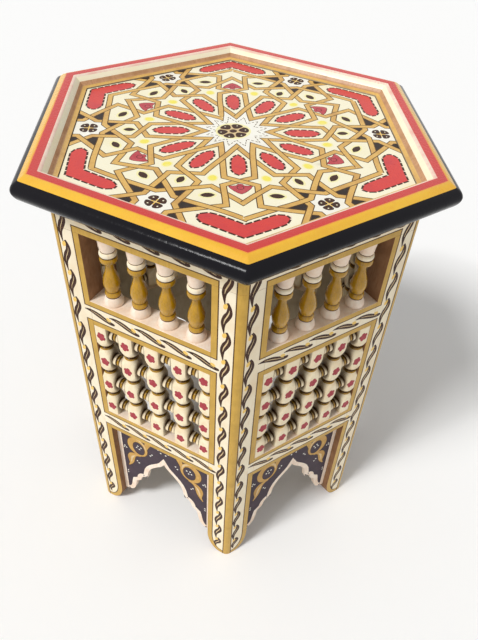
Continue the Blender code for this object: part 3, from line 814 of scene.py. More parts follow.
STAR_RADIUS = 30.0
PETAL_END = (83.0, 12.6)
PETAL_TURN = (96.0, 14.4)
EYE_CROSSING = 118.8
RAIL_LINE = 125.5
STAR_SHOULDER = (RAIL_LINE, 8.1)
STAR_SIDE = (RAIL_LINE, 14.4)
STAR_BEND = (134.0, 14.4)
STAR_EDGE = (141.3, 21.8)
STAR_HEART = (139.5, 0.0)
ARROW_BEND = (117.0, 51.0)
EDGE_BEND = (147.0, 15.0)
PAST_EDGE = 158.0
EDGE_END = (PAST_EDGE, EDGE_BEND[1])
# Far tips of the dark triangles beside a star, from the middle outward
DARK_TIPS = ((106.9, 14.4), (RAIL_LINE, 41.0), (PAST_EDGE, 38.4))
# Straps that link the stars: their rise and run, and how far from the centre they bend on the line to one
# corner and on the line to the next
LINK_SLOPE = (27.0, 22.3)
LINK_CORNER = 145.0
LINK_TURN = 123.5
STRAP_STEP = 9.0
# Red fills: dash and gap round petals and chevrons, width of a dash, growth of the pale edge, inset of the
# red, longest step of the outline, and the two long edges of a chevron
PETAL_DASH = (5.0, 1.9)
CHEVRON_DASH = (6.2, 1.8)
DASH_WIDTH = 1.8
PALE_EDGE = 0.7
RED_INSET = 0.5
FILL_STEP = 4.0
CHEVRON_OUTER = 147.0
CHEVRON_INNER = 131.5
# Eyes as (x, y, half-length, turn in degrees), their lid as (share of the half-length, height), and the
# glow's reach past an eye's ends and its half-width
EYES = ((101.0, 0.0, 5.6, 0), (110.5, 30.5, 6.4, 120), (110.5, -30.5, 6.4, -120))
EYE_LID = [(-1.0, 0.0), (-0.55, 2.5), (0.0, 3.3), (0.55, 2.5), (1.0, 0.0)]
EYE_GLOW = (1.6, 4.8)
# Buds: middle and radii of the ring, and width of the outline
BUD_MIDDLE = (100.0, 0.0)
BUD_RING = (3.2, 2.6)
BUD_LINE = 0.5
# Lemon hearts: distance and direction, and half-widths of the glow and of the heart
LEMON_DISTANCE = 87.5
LEMON_TURN = 15
LEMON_GLOW = (5.8, 5.0)
LEMON_SIZE = (4.3, 3.7)
# Cross in each star: half-length and width of an arm
CROSS_ARM = 4.5
CROSS_WIDTH = 1.1
# Middle flower: its place, the outer and inner radius of the white star and of the line of dashes in it,
# the dashes, and the radii of its round parts
HEART_PLACE = (-3.5, 0.0)
HEART_STARS = ((46.0, 28.0), (30.0, 18.5))
HEART_POINTS = 12
HEART_DASH = (2.7, 1.6, 0.8)
HEART_GLOW = 16.5
HEART_GROUND = 13.2
HEART_RING = 4.8
HEART_EYE = 3.5
# The painter's hand: how far the whole pattern is off centre, how far a slow and a quick wave stray, their
# lengths in mm for a radian, to the right and up, and where the slow ones start
PATTERN_SHIFT = (0.0, 1.5)
SLOW_WAVE = 0.9
QUICK_WAVE = 0.5
SLOW_LENGTHS = (23.0, 21.0)
QUICK_LENGTHS = (13.0, 15.0)
SLOW_STARTS = (1.0, 2.0)


def spun(points, degrees):
    """Points turned about the pattern's centre."""
    spin = Matrix.Rotation(math.radians(degrees), 2)
    return [tuple(spin @ Vector(p)) for p in points]


def mirrored(points, degrees=0):
    """Points mirrored about a line through the pattern's centre."""
    return spun([(x, -y) for x, y in spun(points, -degrees)], degrees)


def polar(radius, degrees):
    """A point by its distance and direction."""
    angle = math.radians(degrees)
    return radius * math.cos(angle), radius * math.sin(angle)


def shifted(points, place):
    """Points moved to a place."""
    return [(x + place[0], y + place[1]) for x, y in points]


def doubled(half):
    """A closed outline from one half of it, which starts and ends on the X axis."""
    return half + [(x, -y) for x, y in half[-2:0:-1]]


def strap_paths():
    """Middle lines of the straps, as (path, whether it starts by going over)."""
    start = [polar(STAR_RADIUS, 30), PETAL_END]
    edge = start + [(PETAL_TURN[0], -PETAL_TURN[1]), (STAR_BEND[0], -STAR_BEND[1])]
    run_out = PAST_EDGE - STAR_BEND[0]
    edge.append((PAST_EDGE, -STAR_BEND[1] - run_out))
    corner = spun(start + [(PETAL_TURN[0], -PETAL_TURN[1])], 30)
    corner += [ARROW_BEND, EDGE_BEND, (PAST_EDGE, EDGE_BEND[1])]
    paths = []
    for k in range(SIDES):
        for path, axis in ((edge, 30), (corner, 60)):
            whole = mirrored(path, axis)[::-1] + path[1:]
            paths.append((spun(whole, 60 * k), False))
    rise, run = LINK_SLOPE
    star_side = (RAIL_LINE, (RAIL_LINE - EYE_CROSSING) * rise / run)
    link = [polar(LINK_CORNER, 30), star_side, (EYE_CROSSING - run, -rise), polar(LINK_TURN, -30)]
    loop = []
    for k in range(0, SIDES, 2):
        loop += spun(link, -60 * k)[:-1] + mirrored(spun(link, -60 * k), -30 - 60 * k)[::-1][:-1]
    paths.append((loop + loop[:1], True))
    paths.append((mirrored(loop + loop[:1]), False))
    return paths


# Turn below which two stretches count as parallel, and share of a stretch that counts as its end
PARALLEL = 1e-9
END_SHARE = 1e-4


def crossing(a, b, c, d):
    """Share of the way from a to b where it crosses the stretch from c to d, or None."""
    along = (b[0] - a[0], b[1] - a[1])
    other = (d[0] - c[0], d[1] - c[1])
    turn = along[0] * other[1] - along[1] * other[0]
    if abs(turn) < PARALLEL:
        return None
    gap = (c[0] - a[0], c[1] - a[1])
    share = (gap[0] * other[1] - gap[1] * other[0]) / turn
    reach = (gap[0] * along[1] - gap[1] * along[0]) / turn
    inside = all(END_SHARE < part < 1 - END_SHARE for part in (share, reach))
    return share if inside else None


def strap_pieces():
    """Straps cut between their crossings, as (path of the piece, whether it goes over)."""
    paths = strap_paths()
    pieces = []
    for path, over in paths:
        marks = []
        travelled = 0.0
        for a, b in zip(path, path[1:]):
            size = (Vector(b) - Vector(a)).length
            for other, _ in paths:
                for c, d in zip(other, other[1:]):
                    share = crossing(a, b, c, d)
                    if share is not None:
                        marks.append(travelled + share * size)
            travelled += size
        marks.sort()
        cuts = [0.0] + [(m + n) / 2 for m, n in zip(marks, marks[1:])] + [travelled]
        for start, end in zip(cuts, cuts[1:]):
            pieces.append((stretch(path, start, end), over))
            over = not over
    return pieces


def stretch(path, start, end):
    """The part of a path between two distances along it."""
    points = []
    travelled = 0.0
    for a, b in zip(path, path[1:]):
        a, b = Vector(a), Vector(b)
        size = (b - a).length
        near = max(start - travelled, 0.0) / size
        far = min(end - travelled, size) / size
        if near < far:
            points += [tuple(a.lerp(b, near)), tuple(a.lerp(b, far))]
        travelled += size
    return list(dict.fromkeys(points))


def wavered(points):
    """Points moved as an unsure hand would, in waves of unlike lengths, with the pattern off centre."""
    strayed = []
    for x, y in points:
        slow = [math.sin(place / size + start)
                for place, size, start in zip((y, x), SLOW_LENGTHS, SLOW_STARTS)]
        quick = [math.sin(place / size) for place, size in zip((x + y, x - y), QUICK_LENGTHS)]
        right, up = (SLOW_WAVE * far + QUICK_WAVE * near for far, near in zip(slow, quick))
        strayed.append((x + right + PATTERN_SHIFT[0], y + up + PATTERN_SHIFT[1]))
    return strayed


def dashed_fill(outline, dash, gap):
    """A red fill with a pale edge and dark dashes round it."""
    edge = divided([*outline, outline[0]], FILL_STEP)[:-1]
    fills = [("pink", beside(edge, PALE_EDGE, closed=True))]
    fills.append(("red", beside(edge, -RED_INSET, closed=True)))
    return fills + [("brown", line) for line in dashes(edge, dash, gap, DASH_WIDTH)]


def petal_fill():
    """The red fill of a long petal of the middle star."""
    return doubled([(44.5, 0.0), (49.0, 4.4), (53.0, 6.6), (62.0, 7.0), (72.0, 6.8), (77.0, 4.2),
                    (80.0, 0.0)])


def chevron_fill():
    """The red fill of the bent bar in a corner of the tray."""
    corner = math.tan(HALF_STEP)
    half = [(CHEVRON_OUTER, CHEVRON_OUTER * corner), (CHEVRON_OUTER, 47.0), (144.6, 41.5), (139.2, 37.0),
            (133.8, 41.5), (CHEVRON_INNER, 47.0), (CHEVRON_INNER, CHEVRON_INNER * corner)]
    return half + mirrored(half, 30)[::-1][1:-1]


# Petals: half an outline as (share of the length, share of the half angle), and place and radius of a light
PETAL_EDGE = [(0.0, 0.0), (0.10, 0.60), (0.38, 0.85), (0.72, 0.87), (0.93, 0.62), (1.0, 0.0)]
LIGHT_SHARE = 0.66
LIGHT_RADIUS = 0.75


def leafy_flower(centre, petals, inner, outer, turn):
    """A flower of brown petals between two radii, each with a small light."""
    edge = doubled(smooth(PETAL_EDGE, 2))
    shapes = []
    for k in range(petals):
        angle = turn + 360 * k / petals
        petal = [polar(inner + share * (outer - inner), angle + side * 180 / petals)
                 for share, side in edge]
        light = polar(inner + LIGHT_SHARE * (outer - inner), angle)
        shapes.append(("brown", shifted(petal, centre)))
        shapes.append(("field", blob(*shifted([light], centre)[0], LIGHT_RADIUS, count=8)))
    return shapes


def tulip():
    """The rose bud of a kite, pointing away from the centre of the tray."""
    bud = doubled([(94.0, 0.0), (94.6, 1.8), (96.8, 2.9), (97.2, 5.6), (97.0, 10.0), (101.2, 8.4),
                   (105.2, 5.6), (108.2, 2.8), (109.8, 0.0)])
    ring = [(paint, blob(*BUD_MIDDLE, radius)) for paint, radius in zip(("brown", "rose"), BUD_RING)]
    return [("brown", beside(bud, BUD_LINE, closed=True)), ("rose", bud)] + ring


def eye(x, y, reach, turn):
    """A pointed dark eye in a yellow glow."""
    lid = smooth([(share * reach, up) for share, up in EYE_LID], 3)
    lens = shifted(spun(doubled(lid), turn), (x, y))
    past, half = EYE_GLOW
    return [("glow", blob(x, y, reach + past, half, turn)), ("brown", lens)]


def edge_shapes():
    """Fills and ornaments repeated at the middle of each edge, under the straps."""
    tip = (EYE_CROSSING, 0.0)
    half = [STAR_SHOULDER, STAR_SIDE, STAR_BEND, STAR_EDGE, EDGE_BEND, EDGE_END]
    shapes = [("white", [tip, *half, *((x, -y) for x, y in half[::-1])])]
    dark = ((tip, STAR_SHOULDER, STAR_SIDE), (STAR_SIDE, STAR_BEND, STAR_EDGE),
            (STAR_EDGE, EDGE_BEND, EDGE_END))
    for near, far in zip(dark, DARK_TIPS):
        shapes += [("charcoal", [*near, far]), ("charcoal", mirrored([*near, far]))]
    shapes += dashed_fill(petal_fill(), *PETAL_DASH)
    for place in EYES:
        shapes += eye(*place)
    for turn in (0, 90):
        arm = band(spun([(-CROSS_ARM, 0.0), (CROSS_ARM, 0.0)], turn), CROSS_WIDTH)
        shapes.append(("yellow", shifted(arm, STAR_HEART)))
    return shapes + leafy_flower(STAR_HEART, petals=4, inner=1.0, outer=9.4, turn=45)


def corner_shapes():
    """Fills and ornaments repeated at each corner, drawn on the line to the corner turned to X."""
    shapes = dashed_fill(petal_fill(), *PETAL_DASH) + tulip()
    shapes += dashed_fill(spun(chevron_fill(), -30), *CHEVRON_DASH)
    for turn in (-LEMON_TURN, LEMON_TURN):
        place = polar(LEMON_DISTANCE, turn)
        shapes += [("glow", blob(*place, *LEMON_GLOW, turn)), ("lemon", blob(*place, *LEMON_SIZE, turn))]
    return shapes


def heart_shapes():
    """The white star in the middle with its dashes and flower."""
    corners = range(2 * HEART_POINTS)
    star, inner = ([polar(far if k % 2 else near, 180 * k / HEART_POINTS) for k in corners]
                   for far, near in HEART_STARS)
    shapes = [("white", star)] + [("line", dash) for dash in dashes(inner, *HEART_DASH)]
    shapes.append(("glow", blob(*HEART_PLACE, HEART_GLOW, count=32)))
    shapes.append(("light", blob(*HEART_PLACE, HEART_GROUND, count=24)))
    shapes += leafy_flower(HEART_PLACE, petals=6, inner=5.0, outer=14.8, turn=12)
    return shapes + [("light", blob(*HEART_PLACE, HEART_RING)), ("brown", blob(*HEART_PLACE, HEART_EYE))]


class SIDETABLE_OT_board(bpy.types.Operator):
    """Make the sunk board of the tray with its interlaced star pattern"""

    bl_idname = "side_table.board"
    bl_label = "Tray board"

    # Line along the board's edge, as a share of an outline, and how far it runs on past the edge
    EDGE_LINE = 0.6
    OVERSHOOT = 1.0

    def execute(self, context):
        apothem = FIELD_APOTHEM - GAP
        overlap = BOARD_HIGH.x - apothem
        rings = [(0.0, BOARD_REBATE), (overlap, BOARD_REBATE), (overlap, BOARD_HIGH.z - BOARD_LOW.z)]
        shape = Shape()
        shape.slab(self.painting(apothem), lambda x, y, down: (x, y, BOARD_HIGH.z - down), rings,
                   "wood", "wood")
        add_piece("painted_tray_board", shape.mesh("painted_tray_board"), ["tray_board"])
        return {"FINISHED"}

    def painting(self, apothem):
        """The pattern: fills and ornaments, straps that pass over and under, and a line along the edge."""
        outline = [polar(apothem / math.cos(HALF_STEP), -90 + 60 * k) for k in range(SIDES)]
        painting = Painting(outline, "field")
        for paint, shape in heart_shapes():
            painting.add(paint, wavered(shape))
        for k in range(SIDES):
            for shapes, turn in ((edge_shapes(), 60 * k), (corner_shapes(), 60 * k + 30)):
                for paint, shape in shapes:
                    painting.add(paint, wavered(spun(shape, turn)))
        width = sizes("strap")
        line = sizes("outline")
        for path, _ in sorted(strap_pieces(), key=lambda piece: piece[1]):
            path = wavered(divided(path, STRAP_STEP))
            painting.add("line", band(path, width))
            painting.add("strap", band(path, width - 2 * line))
        edge = rectangle(apothem - self.EDGE_LINE * line, -apothem, apothem + self.OVERSHOOT, apothem)
        painting.add("line", *(spun(edge, 60 * k) for k in range(SIDES)))
        return painting


class SIDETABLE_OT_top_frame(bpy.types.Operator):
    """Make the top rails under the tray, joined as one ring"""

    bl_idname = "side_table.top_frame"
    bl_label = "Top frame"

    def execute(self, context):
        low, high = TOP_LOW.z, TOP_HIGH.z
        ends = (-HALF_SIDE, 0.0, HALF_SIDE)
        painting = corner_painting([(x, low) for x in ends] + [(x, high) for x in ends[::-1]], low, high)
        bend = corner_place(HALF_SIDE)
        shape = Shape()
        for number in NUMBERS:
            here = corner_frame(number)
            shape.slab(painting, lambda *place: here @ (Vector(bend(*place)) * MM) / MM, [(0.0, THICKNESS)],
                       "gold", "gold", folded=True)
        add_piece("painted_top_frame", shape.mesh("painted_top_frame"), ["top_frame"])
        return {"FINISHED"}


class SIDETABLE_OT_posts(bpy.types.Operator):
    """Make the six corner posts with their gold strips, borders, scrolls and rounded feet"""

    bl_idname = "side_table.posts"
    bl_label = "Corner posts"

    def execute(self, context):
        top = TOP_LOW.z - SEAM
        right = [(0.0, 0.0), *foot_path(), (POST_WIDTH, top), (0.0, top)]
        whole = right + [(-x, z) for x, z in right[-2:0:-1]]
        painting = corner_painting(beside(whole, EDGE, closed=True), EDGE, top - EDGE)
        shape = Shape()
        # Every edge of a post takes the reveal paint, a tan darkened as painted shade
        shape.slab(painting, corner_place(POST_WIDTH), [(EDGE, EDGE), (EDGE, THICKNESS)],
                   "reveal", "reveal", folded=True)
        add_six("painted", "post", shape.mesh("painted_post"), corner_frame)
        return {"FINISHED"}


class SIDETABLE_OT_rails(bpy.types.Operator):
    """Make the sill rails and the low rails with their borders and scrolls"""

    bl_idname = "side_table.rails"
    bl_label = "Rails"

    def execute(self, context):
        end = HALF_OPENING - SEAM
        rings = [(0.0, EDGE), (EDGE, 2 * EDGE), (EDGE, THICKNESS)]
        for kind, low, high in (("mid_rail", SILL_LOW, SILL_HIGH), ("low_rail", RAIL_LOW, RAIL_HIGH)):
            painting = shared_painting(rectangle(-end, low.z + EDGE, end, high.z - EDGE))
            shape = Shape()
            shape.slab(painting, side_place(), rings, "pink", "gold")
            add_six("painted", kind, shape.mesh(f"painted_{kind}"), side_frame)
        return {"FINISHED"}


class SIDETABLE_OT_balusters(bpy.types.Operator):
    """Make the twenty-four turned balusters"""

    bl_idname = "side_table.balusters"
    bl_label = "Balusters"

    FACETS = 32

    def execute(self, context):
        shape = Shape()
        shape.turn(self.profile(), self.FACETS)
        mesh = shape.mesh("turned_baluster", angle=40)
        for number in NUMBERS:
            for i, x in enumerate(BALUSTER_PLACES, 1):
                lift = Matrix.Translation(Vector((x, THICKNESS / 2, SILL_HIGH.z)) * MM)
                add_piece(f"turned_baluster_{number}_{i}", mesh,
                          [f"baluster_{number}_{i}"], side_frame(number) @ lift)
        return {"FINISHED"}

    @staticmethod
    def profile():
        """Turned outline as (radius, height, paint), from the foot up: base, bead, vase, rings and cup."""
        top = BALUSTER_HEIGHT - GAP
        parts = [
            ("pink", [(9.4, GAP), (9.6, 1.6), (9.2, 4.4), (8.2, 7.0), (7.0, 9.2)]),
            ("olive", [(6.5, 9.6), (7.2, 10.6), (7.4, 12.4), (7.0, 14.4), (6.2, 15.4)]),
            ("olive", [(6.0, 15.9), (6.9, 19.0), (7.7, 22.5), (7.9, 25.5), (7.2, 30.5), (5.7, 35.5),
                       (4.5, 39.5), (3.9, 43.0), (3.9, 47.6)]),
            ("olive", [(4.3, 48.2), (7.4, 49.8), (8.2, 51.2), (8.3, 53.2), (7.6, 55.4)]),
            ("cream", [(6.6, 56.0), (7.7, 56.8), (8.1, 58.7), (7.7, 60.6), (6.7, 61.4)]),
            ("pink", [(6.5, 62.0), (7.1, 63.6), (7.6, 68.0), (8.2, 73.0), (8.6, top)]),
        ]
        section = [(0.0, GAP, "pink")]
        for paint, points in parts:
            curve = smooth(points, 3)
            section += [(radius, height, paint) for radius, height in curve[:-1]]
            section.append((*curve[-1], "line"))
        return section + [(0.0, top, "pink")]


class SIDETABLE_OT_lattices(bpy.types.Operator):
    """Make the six lattice panels of block spindles, bobbins and painted flowers"""

    bl_idname = "side_table.lattices"
    bl_label = "Lattice panels"

    COLUMNS = 5
    ROWS = 4
    # How far the outer columns stand in from the opening, and the end rows from the rails
    EDGE_INSET = 4.8
    END = 13.3
    # A turned cup: height, radius at waist and block, fullness, steps, and half the height of the dark band
    # at its waist
    CUP = 16.0
    WAIST = 4.6
    SWELL = 11.4
    FULLNESS = 0.7
    CUP_STEPS = 12
    WAIST_BAND = 0.4
    # A block: power of its rounded square, a radius past its corners in half-widths, and facets
    SQUARENESS = 6
    UNCUT = 1.5
    FACETS = 40
    # A bobbin: how far its ends are sunk in the blocks, and facets
    BOBBIN_SINK = 0.5
    BOBBIN_FACETS = 24
    # A flower: petals, their roundness, radius between petals and their reach as shares of its width, its
    # stretch across and up, its lean in degrees for a mm across and up, degrees between points, and the
    # thickness of the paint
    PETALS = 5
    PETAL_ROUND = 0.6
    CORE_SHARE = 0.33
    PETAL_SHARE = 0.17
    STRETCH = (0.96, 1.12)
    LEAN = (7, 3)
    TURN_STEP = 8
    PAINT_RISE = 0.15

    def execute(self, context):
        low, high = box_mm("lattice_3")
        self.half = (high.x - low.x) / 2
        self.foot = RAIL_HIGH.z + GAP
        self.head = SILL_LOW.z - GAP
        self.pitch = (self.head - self.foot - 2 * self.END) / (self.ROWS - 1)
        reach = HALF_OPENING - self.EDGE_INSET
        columns = [reach * (2 * i / (self.COLUMNS - 1) - 1) for i in range(self.COLUMNS)]
        rows = [self.foot + self.END + k * self.pitch for k in range(self.ROWS)]
        shape = Shape()
        for x in columns:
            self.spindle(shape, x)
            for z in rows:
                self.flower(shape, x, z)
        for left, right in zip(columns, columns[1:]):
            for z in rows:
                self.bobbin(shape, left, right, z)
        add_six("turned", "lattice", shape.mesh("turned_lattice", angle=35), side_frame)
        return {"FINISHED"}

    def spindle(self, shape, x):
        """A column of square blocks, turned to cups, gold rings and waists between the blocks."""
        cup = [self.cup(i / self.CUP_STEPS) for i in range(self.CUP_STEPS + 1)]
        waist_radius = cup[0][1]
        uncut = self.UNCUT * self.half
        sections = [(self.foot, uncut, "ivory")]
        for k in range(self.ROWS - 1):
            waist = self.foot + self.END + (k + 0.5) * self.pitch
            sections += [(waist - height, radius, "ivory") for height, radius in cup[:2:-1]]
            # Round each waist: olive rings, and between them a dark band, partly a painted line and partly
            # painted shade
            sections += [(waist - height, radius, paint)
                         for (height, radius), paint in zip(cup[2:0:-1], ("olive", "line"))]
            sections += [(waist + side * self.WAIST_BAND, waist_radius, "line") for side in (-1, 1)]
            sections += [(waist + height, radius, "olive") for height, radius in cup[1:3]]
            sections += [(waist + height, radius, "ivory") for height, radius in cup[3:]]
        sections.append((self.head, uncut, "ivory"))
        rings = [self.ring(shape, x, radius, z) for z, radius, _ in sections]
        for lower, upper, (_, _, paint) in zip(rings, rings[1:], sections):
            shape.bridge(lower, upper, paint)
        shape.face(rings[0], "ivory")
        shape.face(rings[-1], "ivory")

    def ring(self, shape, x, radius, z):
        """A ring of a spindle: round where it is turned, square on a block, and cut off at the opening."""
        edge = HALF_OPENING - GAP
        ring = []
        for a in (math.tau * i / self.FACETS for i in range(self.FACETS)):
            corner = abs(math.cos(a)) ** self.SQUARENESS + abs(math.sin(a)) ** self.SQUARENESS
            reach = min(radius, self.half / corner ** (1 / self.SQUARENESS))
            across = max(-edge, min(edge, x + reach * math.cos(a)))
            ring.append(shape.point((across, self.half + reach * math.sin(a), z)))
        return ring

    def cup(self, share):
        """Height above a waist and radius of a turned cup, at a share of the way to the block."""
        swell = math.sin(share * math.pi / 2) ** self.FULLNESS
        return self.CUP * share, self.WAIST + (self.SWELL - self.WAIST) * swell

    def bobbin(self, shape, left, right, z):
        """A turned bobbin between two columns: collar, gold ring, collar."""
        start = left + self.half - self.BOBBIN_SINK
        middle = (left + right) / 2
        half = [(0.0, start, "ivory"), (5.2, start, "ivory"), (6.0, start + 1.2, "ivory"),
                (6.2, start + 2.6, "ivory"), (5.9, middle - 2.5, "line"), (4.8, middle - 1.6, "olive"),
                (5.5, middle - 0.8, "olive"), (5.7, middle, "olive")]
        next_paints = [paint for _, _, paint in half[-3::-1] + half[:1]]
        rest = [(radius, 2 * middle - place, paint)
                for (radius, place, _), paint in zip(half[-2::-1], next_paints)]
        spin = Matrix.Translation((0, self.half, z)) @ Matrix.Rotation(math.pi / 2, 4, "Y")
        shape.turn(half + rest, self.BOBBIN_FACETS, spin)

    def flower(self, shape, x, z):
        """A crimson flower in the middle of what shows of a block, with a lean of its own."""
        size = sizes("flower")
        middle = (min(x + self.half, HALF_OPENING) + max(x - self.half, -HALF_OPENING)) / 2
        lean = (self.LEAN[0] * x + self.LEAN[1] * z) % (360 / self.PETALS)
        outline = []
        for turn in range(0, 360, self.TURN_STEP):
            petal = abs(math.cos(math.radians(self.PETALS / 2 * (turn - lean)))) ** self.PETAL_ROUND
            across, up = polar(size * (self.CORE_SHARE + self.PETAL_SHARE * petal), turn)
            outline.append((middle + self.STRETCH[0] * across, z + self.STRETCH[1] * up))
        shape.prism(outline, side_place(), -self.PAINT_RISE, "crimson")


class SIDETABLE_OT_aprons(bpy.types.Operator):
    """Make the six aprons with scalloped arches, gold swirls and white dots"""

    bl_idname = "side_table.aprons"
    bl_label = "Aprons"

    # Right half of the arch: curves of four points each, in shares of its half-width and its rise
    ARCH = [
        ((0.0, 1.0), (0.07, 0.90), (0.36, 0.86), (0.40, 0.67)),
        ((0.42, 0.60), (0.50, 0.60), (0.57, 0.58), (0.58, 0.50)),
        ((0.69, 0.45), (0.73, 0.38), (0.72, 0.25), (0.87, 0.22)),
    ]
    ARCH_STEPS = 8
    # Where the pale strip beside the post starts
    SIDE_STRIP = 59.5
    # Strokes of the swirl as (across, up, width), and its disc and eye with their half-widths
    HORN = [(11.5, 167.0, 1.4), (15.5, 162.5, 4.6), (20.5, 156.0, 6.8), (24.0, 148.0, 6.0),
            (25.5, 140.0, 3.0)]
    LEAF = [(34.0, 120.5, 1.2), (40.5, 119.5, 4.6), (46.0, 115.5, 8.6), (48.8, 108.5, 10.2),
            (49.4, 101.0, 7.8), (50.6, 94.5, 3.6), (54.0, 88.0, 1.0)]
    LIGHTS = [[(42.5, 116.6, 0.5), (46.8, 111.0, 2.8), (48.8, 104.0, 2.4), (49.8, 97.0, 0.5)],
              [(25.6, 138.0, 0.5), (27.0, 146.5, 2.4), (32.5, 153.0, 2.2), (40.0, 154.5, 0.5)]]
    DISC = (37.3, 138.5)
    DISC_SIZE = (14.2, 17.6)
    EYE = (35.5, 136.5)
    EYE_SIZE = (8.0, 12.0)
    LINE = 0.8
    DOTS = [(57.0, 165.5), (54.0, 163.0), (56.5, 129.0), (54.2, 126.5), (57.6, 125.8), (16.5, 136.5),
            (19.0, 133.0), (40.0, 107.0), (37.5, 104.0), (56.8, 73.5), (57.0, 69.0), (7.0, 154.5),
            (3.5, 150.0), (0.0, 158.0)]
    EYE_DOTS = [(-3.5, 3.5), (1.0, 4.5), (3.0, 0.5), (-1.0, -1.0)]
    DOT_RADIUS = 1.1

    def execute(self, context):
        side = HALF_OPENING - GAP
        top = RAIL_LOW.z - GAP
        arch = self.arch()
        outline = [(-side, ARCH_FOOT), *arch, (side, ARCH_FOOT), (side, top), (-side, top)]
        painting = Painting(outline, "plum")
        for sign in (-1, 1):
            for paint, shape in self.ornament():
                painting.add(paint, [(sign * x, z) for x, z in shape])
            painting.add("pink", rectangle(sign * self.SIDE_STRIP, 0.0, sign * side, top))
        border = sizes("arch_border")
        painting.add("pink", band(beside(arch, border / 2), border))
        shape = Shape()
        shape.slab(painting, side_place(APRON_RECESS), [(EDGE, EDGE), (EDGE, APRON_THICKNESS)],
                   "pink", "pink")
        add_six("painted", "apron", shape.mesh("painted_apron"), side_frame)
        return {"FINISHED"}

    def arch(self):
        """The scalloped arch from its left foot over the apex to its right foot."""
        half = []
        for curve in self.ARCH:
            for t in (i / self.ARCH_STEPS for i in range(self.ARCH_STEPS + 1)):
                weights = ((1 - t) ** 3, 3 * t * (1 - t) ** 2, 3 * t * t * (1 - t), t ** 3)
                x, z = (sum(w * p[i] for w, p in zip(weights, curve)) for i in (0, 1))
                half.append((x * HALF_OPENING, z * ARCH_RISE))
        return [(-x, z) for x, z in half[:0:-1]] + half

    def ornament(self):
        """Swirl, leaf and dots of the right half of an apron."""
        shapes = []
        for paint, grow in (("line", self.LINE), ("swirl", 0.0)):
            for line in (self.HORN, self.LEAF):
                shapes.append((paint, stroke([(x, z, width + 2 * grow) for x, z, width in line])))
            shapes.append((paint, blob(*self.DISC, *(half + grow for half in self.DISC_SIZE), count=40)))
        shapes += [("light", stroke(line)) for line in self.LIGHTS]
        for paint, grow in (("line", self.LINE), ("plum", 0.0)):
            shapes.append((paint, blob(*self.EYE, *(half + grow for half in self.EYE_SIZE), count=32)))
        dots = self.DOTS + shifted(self.EYE_DOTS, self.EYE)
        return shapes + [("white", blob(*dot, self.DOT_RADIUS, count=8)) for dot in dots]


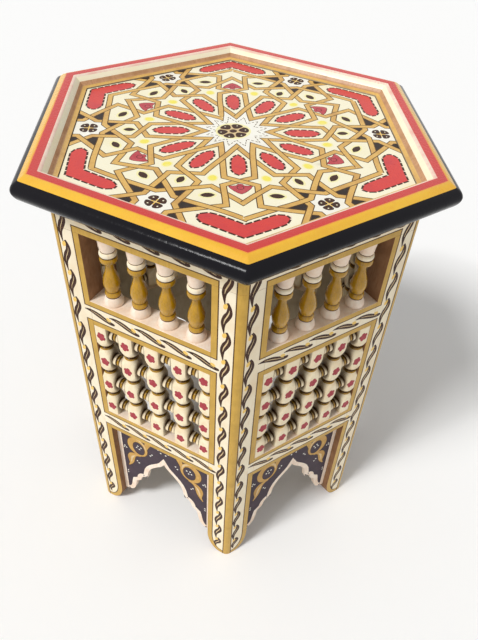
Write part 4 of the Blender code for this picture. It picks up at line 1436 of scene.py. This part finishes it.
class SIDETABLE_OT_stage(bpy.types.Operator):
    """Set the floor, the lamps, the white surroundings and the camera"""

    bl_idname = "side_table.stage"
    bl_label = "Stage"

    CAMERA_PLACE = (-31.6, -533.0, 758.6)
    CAMERA_TURN = (45.87, -2.52, -2.39)
    CAMERA_LENS = 33.87
    FLOOR_HALF = 4000.0
    FLOOR_DROP = 0.2
    # Lamps as (name, turn in degrees, strength, width in degrees), and the light of the surroundings
    LAMPS = (("key_lamp", (38, 0, -55), 1.9, 14), ("glint_lamp", (46.4, 0, -60.8), 0.3, 3))
    SKY_LIGHT = 0.43

    def execute(self, context):
        scene = context.scene
        scene.view_settings.view_transform = "Standard"
        self.floor(scene)
        self.surroundings(scene)
        for lamp in self.LAMPS:
            self.lamp(scene, *lamp)
        data = bpy.data.cameras.new("photo_camera")
        data.lens = self.CAMERA_LENS
        camera = bpy.data.objects.new("photo_camera", data)
        camera.location = Vector(self.CAMERA_PLACE) * MM
        camera.rotation_euler = [math.radians(a) for a in self.CAMERA_TURN]
        scene.collection.objects.link(camera)
        scene.camera = camera
        return {"FINISHED"}

    def floor(self, scene):
        """A wide plain floor."""
        work = bmesh.new()
        bmesh.ops.create_grid(work, x_segments=1, y_segments=1, size=self.FLOOR_HALF * MM)
        mesh = bpy.data.meshes.new("studio_floor")
        work.to_mesh(mesh)
        work.free()
        floor = bpy.data.objects.new("studio_floor", mesh)
        floor.location.z = -self.FLOOR_DROP * MM
        scene.collection.objects.link(floor)
        # Paper rolled out matt: even and dull, so that only the table's soft shadow shows on it
        material = bpy.data.materials.new("matt_paper_rolled")
        material.use_nodes = True
        shader = material.node_tree.nodes["Principled BSDF"]
        shader.inputs["Base Color"].default_value = (*scene.side_table_paints.floor, 1.0)
        shader.inputs["Roughness"].default_value = 0.9
        mesh.materials.append(material)

    def surroundings(self, scene):
        """White to the camera and in reflections, and a softer light on the table."""
        world = bpy.data.worlds.new("studio_world")
        world.use_nodes = True
        tree = world.node_tree
        tree.nodes.clear()
        rays = add_node(tree, "ShaderNodeLightPath")
        seen = 0.0
        for ray in ("Is Camera Ray", "Is Glossy Ray", "Is Transmission Ray"):
            seen = add_node(tree, "ShaderNodeMath", {"operation": "MAXIMUM"}, {
                0: seen, 1: rays.outputs[ray]}).outputs["Value"]
        level = add_node(tree, "ShaderNodeMapRange", inputs={
            "Value": seen, "To Min": self.SKY_LIGHT})
        sky = add_node(tree, "ShaderNodeBackground", inputs={
            "Color": (1.0, 1.0, 1.0, 1.0), "Strength": level.outputs["Result"]})
        add_node(tree, "ShaderNodeOutputWorld", inputs={"Surface": sky.outputs["Background"]})
        scene.world = world

    @staticmethod
    def lamp(scene, name, turn, strength, spread):
        """A soft far lamp."""
        data = bpy.data.lights.new(name, "SUN")
        data.energy = strength
        data.angle = math.radians(spread)
        lamp = bpy.data.objects.new(name, data)
        lamp.rotation_euler = [math.radians(a) for a in turn]
        scene.collection.objects.link(lamp)


class SIDETABLE_PT_panel(bpy.types.Panel):
    """Lists the table's pieces, sizes and paints"""

    bl_idname = "SIDETABLE_PT_panel"
    bl_label = "Side Table"
    bl_space_type = "VIEW_3D"
    bl_region_type = "UI"
    bl_category = "Side Table"

    def draw(self, context):
        for operator in OPERATORS:
            self.layout.operator(operator.bl_idname)
        for group in (context.scene.side_table_sizes, context.scene.side_table_paints):
            column = self.layout.column()
            for key in group.__annotations__:
                column.prop(group, key)


OPERATORS = (
    SIDETABLE_OT_rim, SIDETABLE_OT_board, SIDETABLE_OT_top_frame, SIDETABLE_OT_posts, SIDETABLE_OT_rails,
    SIDETABLE_OT_balusters, SIDETABLE_OT_lattices, SIDETABLE_OT_aprons, SIDETABLE_OT_stage,
)
CLASSES = (SideTablePaints, SideTableSizes, *OPERATORS, SIDETABLE_PT_panel)


def register():
    """Register the classes and give the scene its sizes and paints."""
    for item in CLASSES:
        bpy.utils.register_class(item)
    bpy.types.Scene.side_table_paints = bpy.props.PointerProperty(type=SideTablePaints)
    bpy.types.Scene.side_table_sizes = bpy.props.PointerProperty(type=SideTableSizes)


def unregister():
    """Undo what register does."""
    del bpy.types.Scene.side_table_sizes
    del bpy.types.Scene.side_table_paints
    for item in reversed(CLASSES):
        bpy.utils.unregister_class(item)


def main():
    """Make every piece and the stage."""
    register()
    for name in ("rim", "board", "top_frame", "posts", "rails", "balusters", "lattices", "aprons", "stage"):
        getattr(bpy.ops.side_table, name)()


if __name__ == "__main__":
    main()
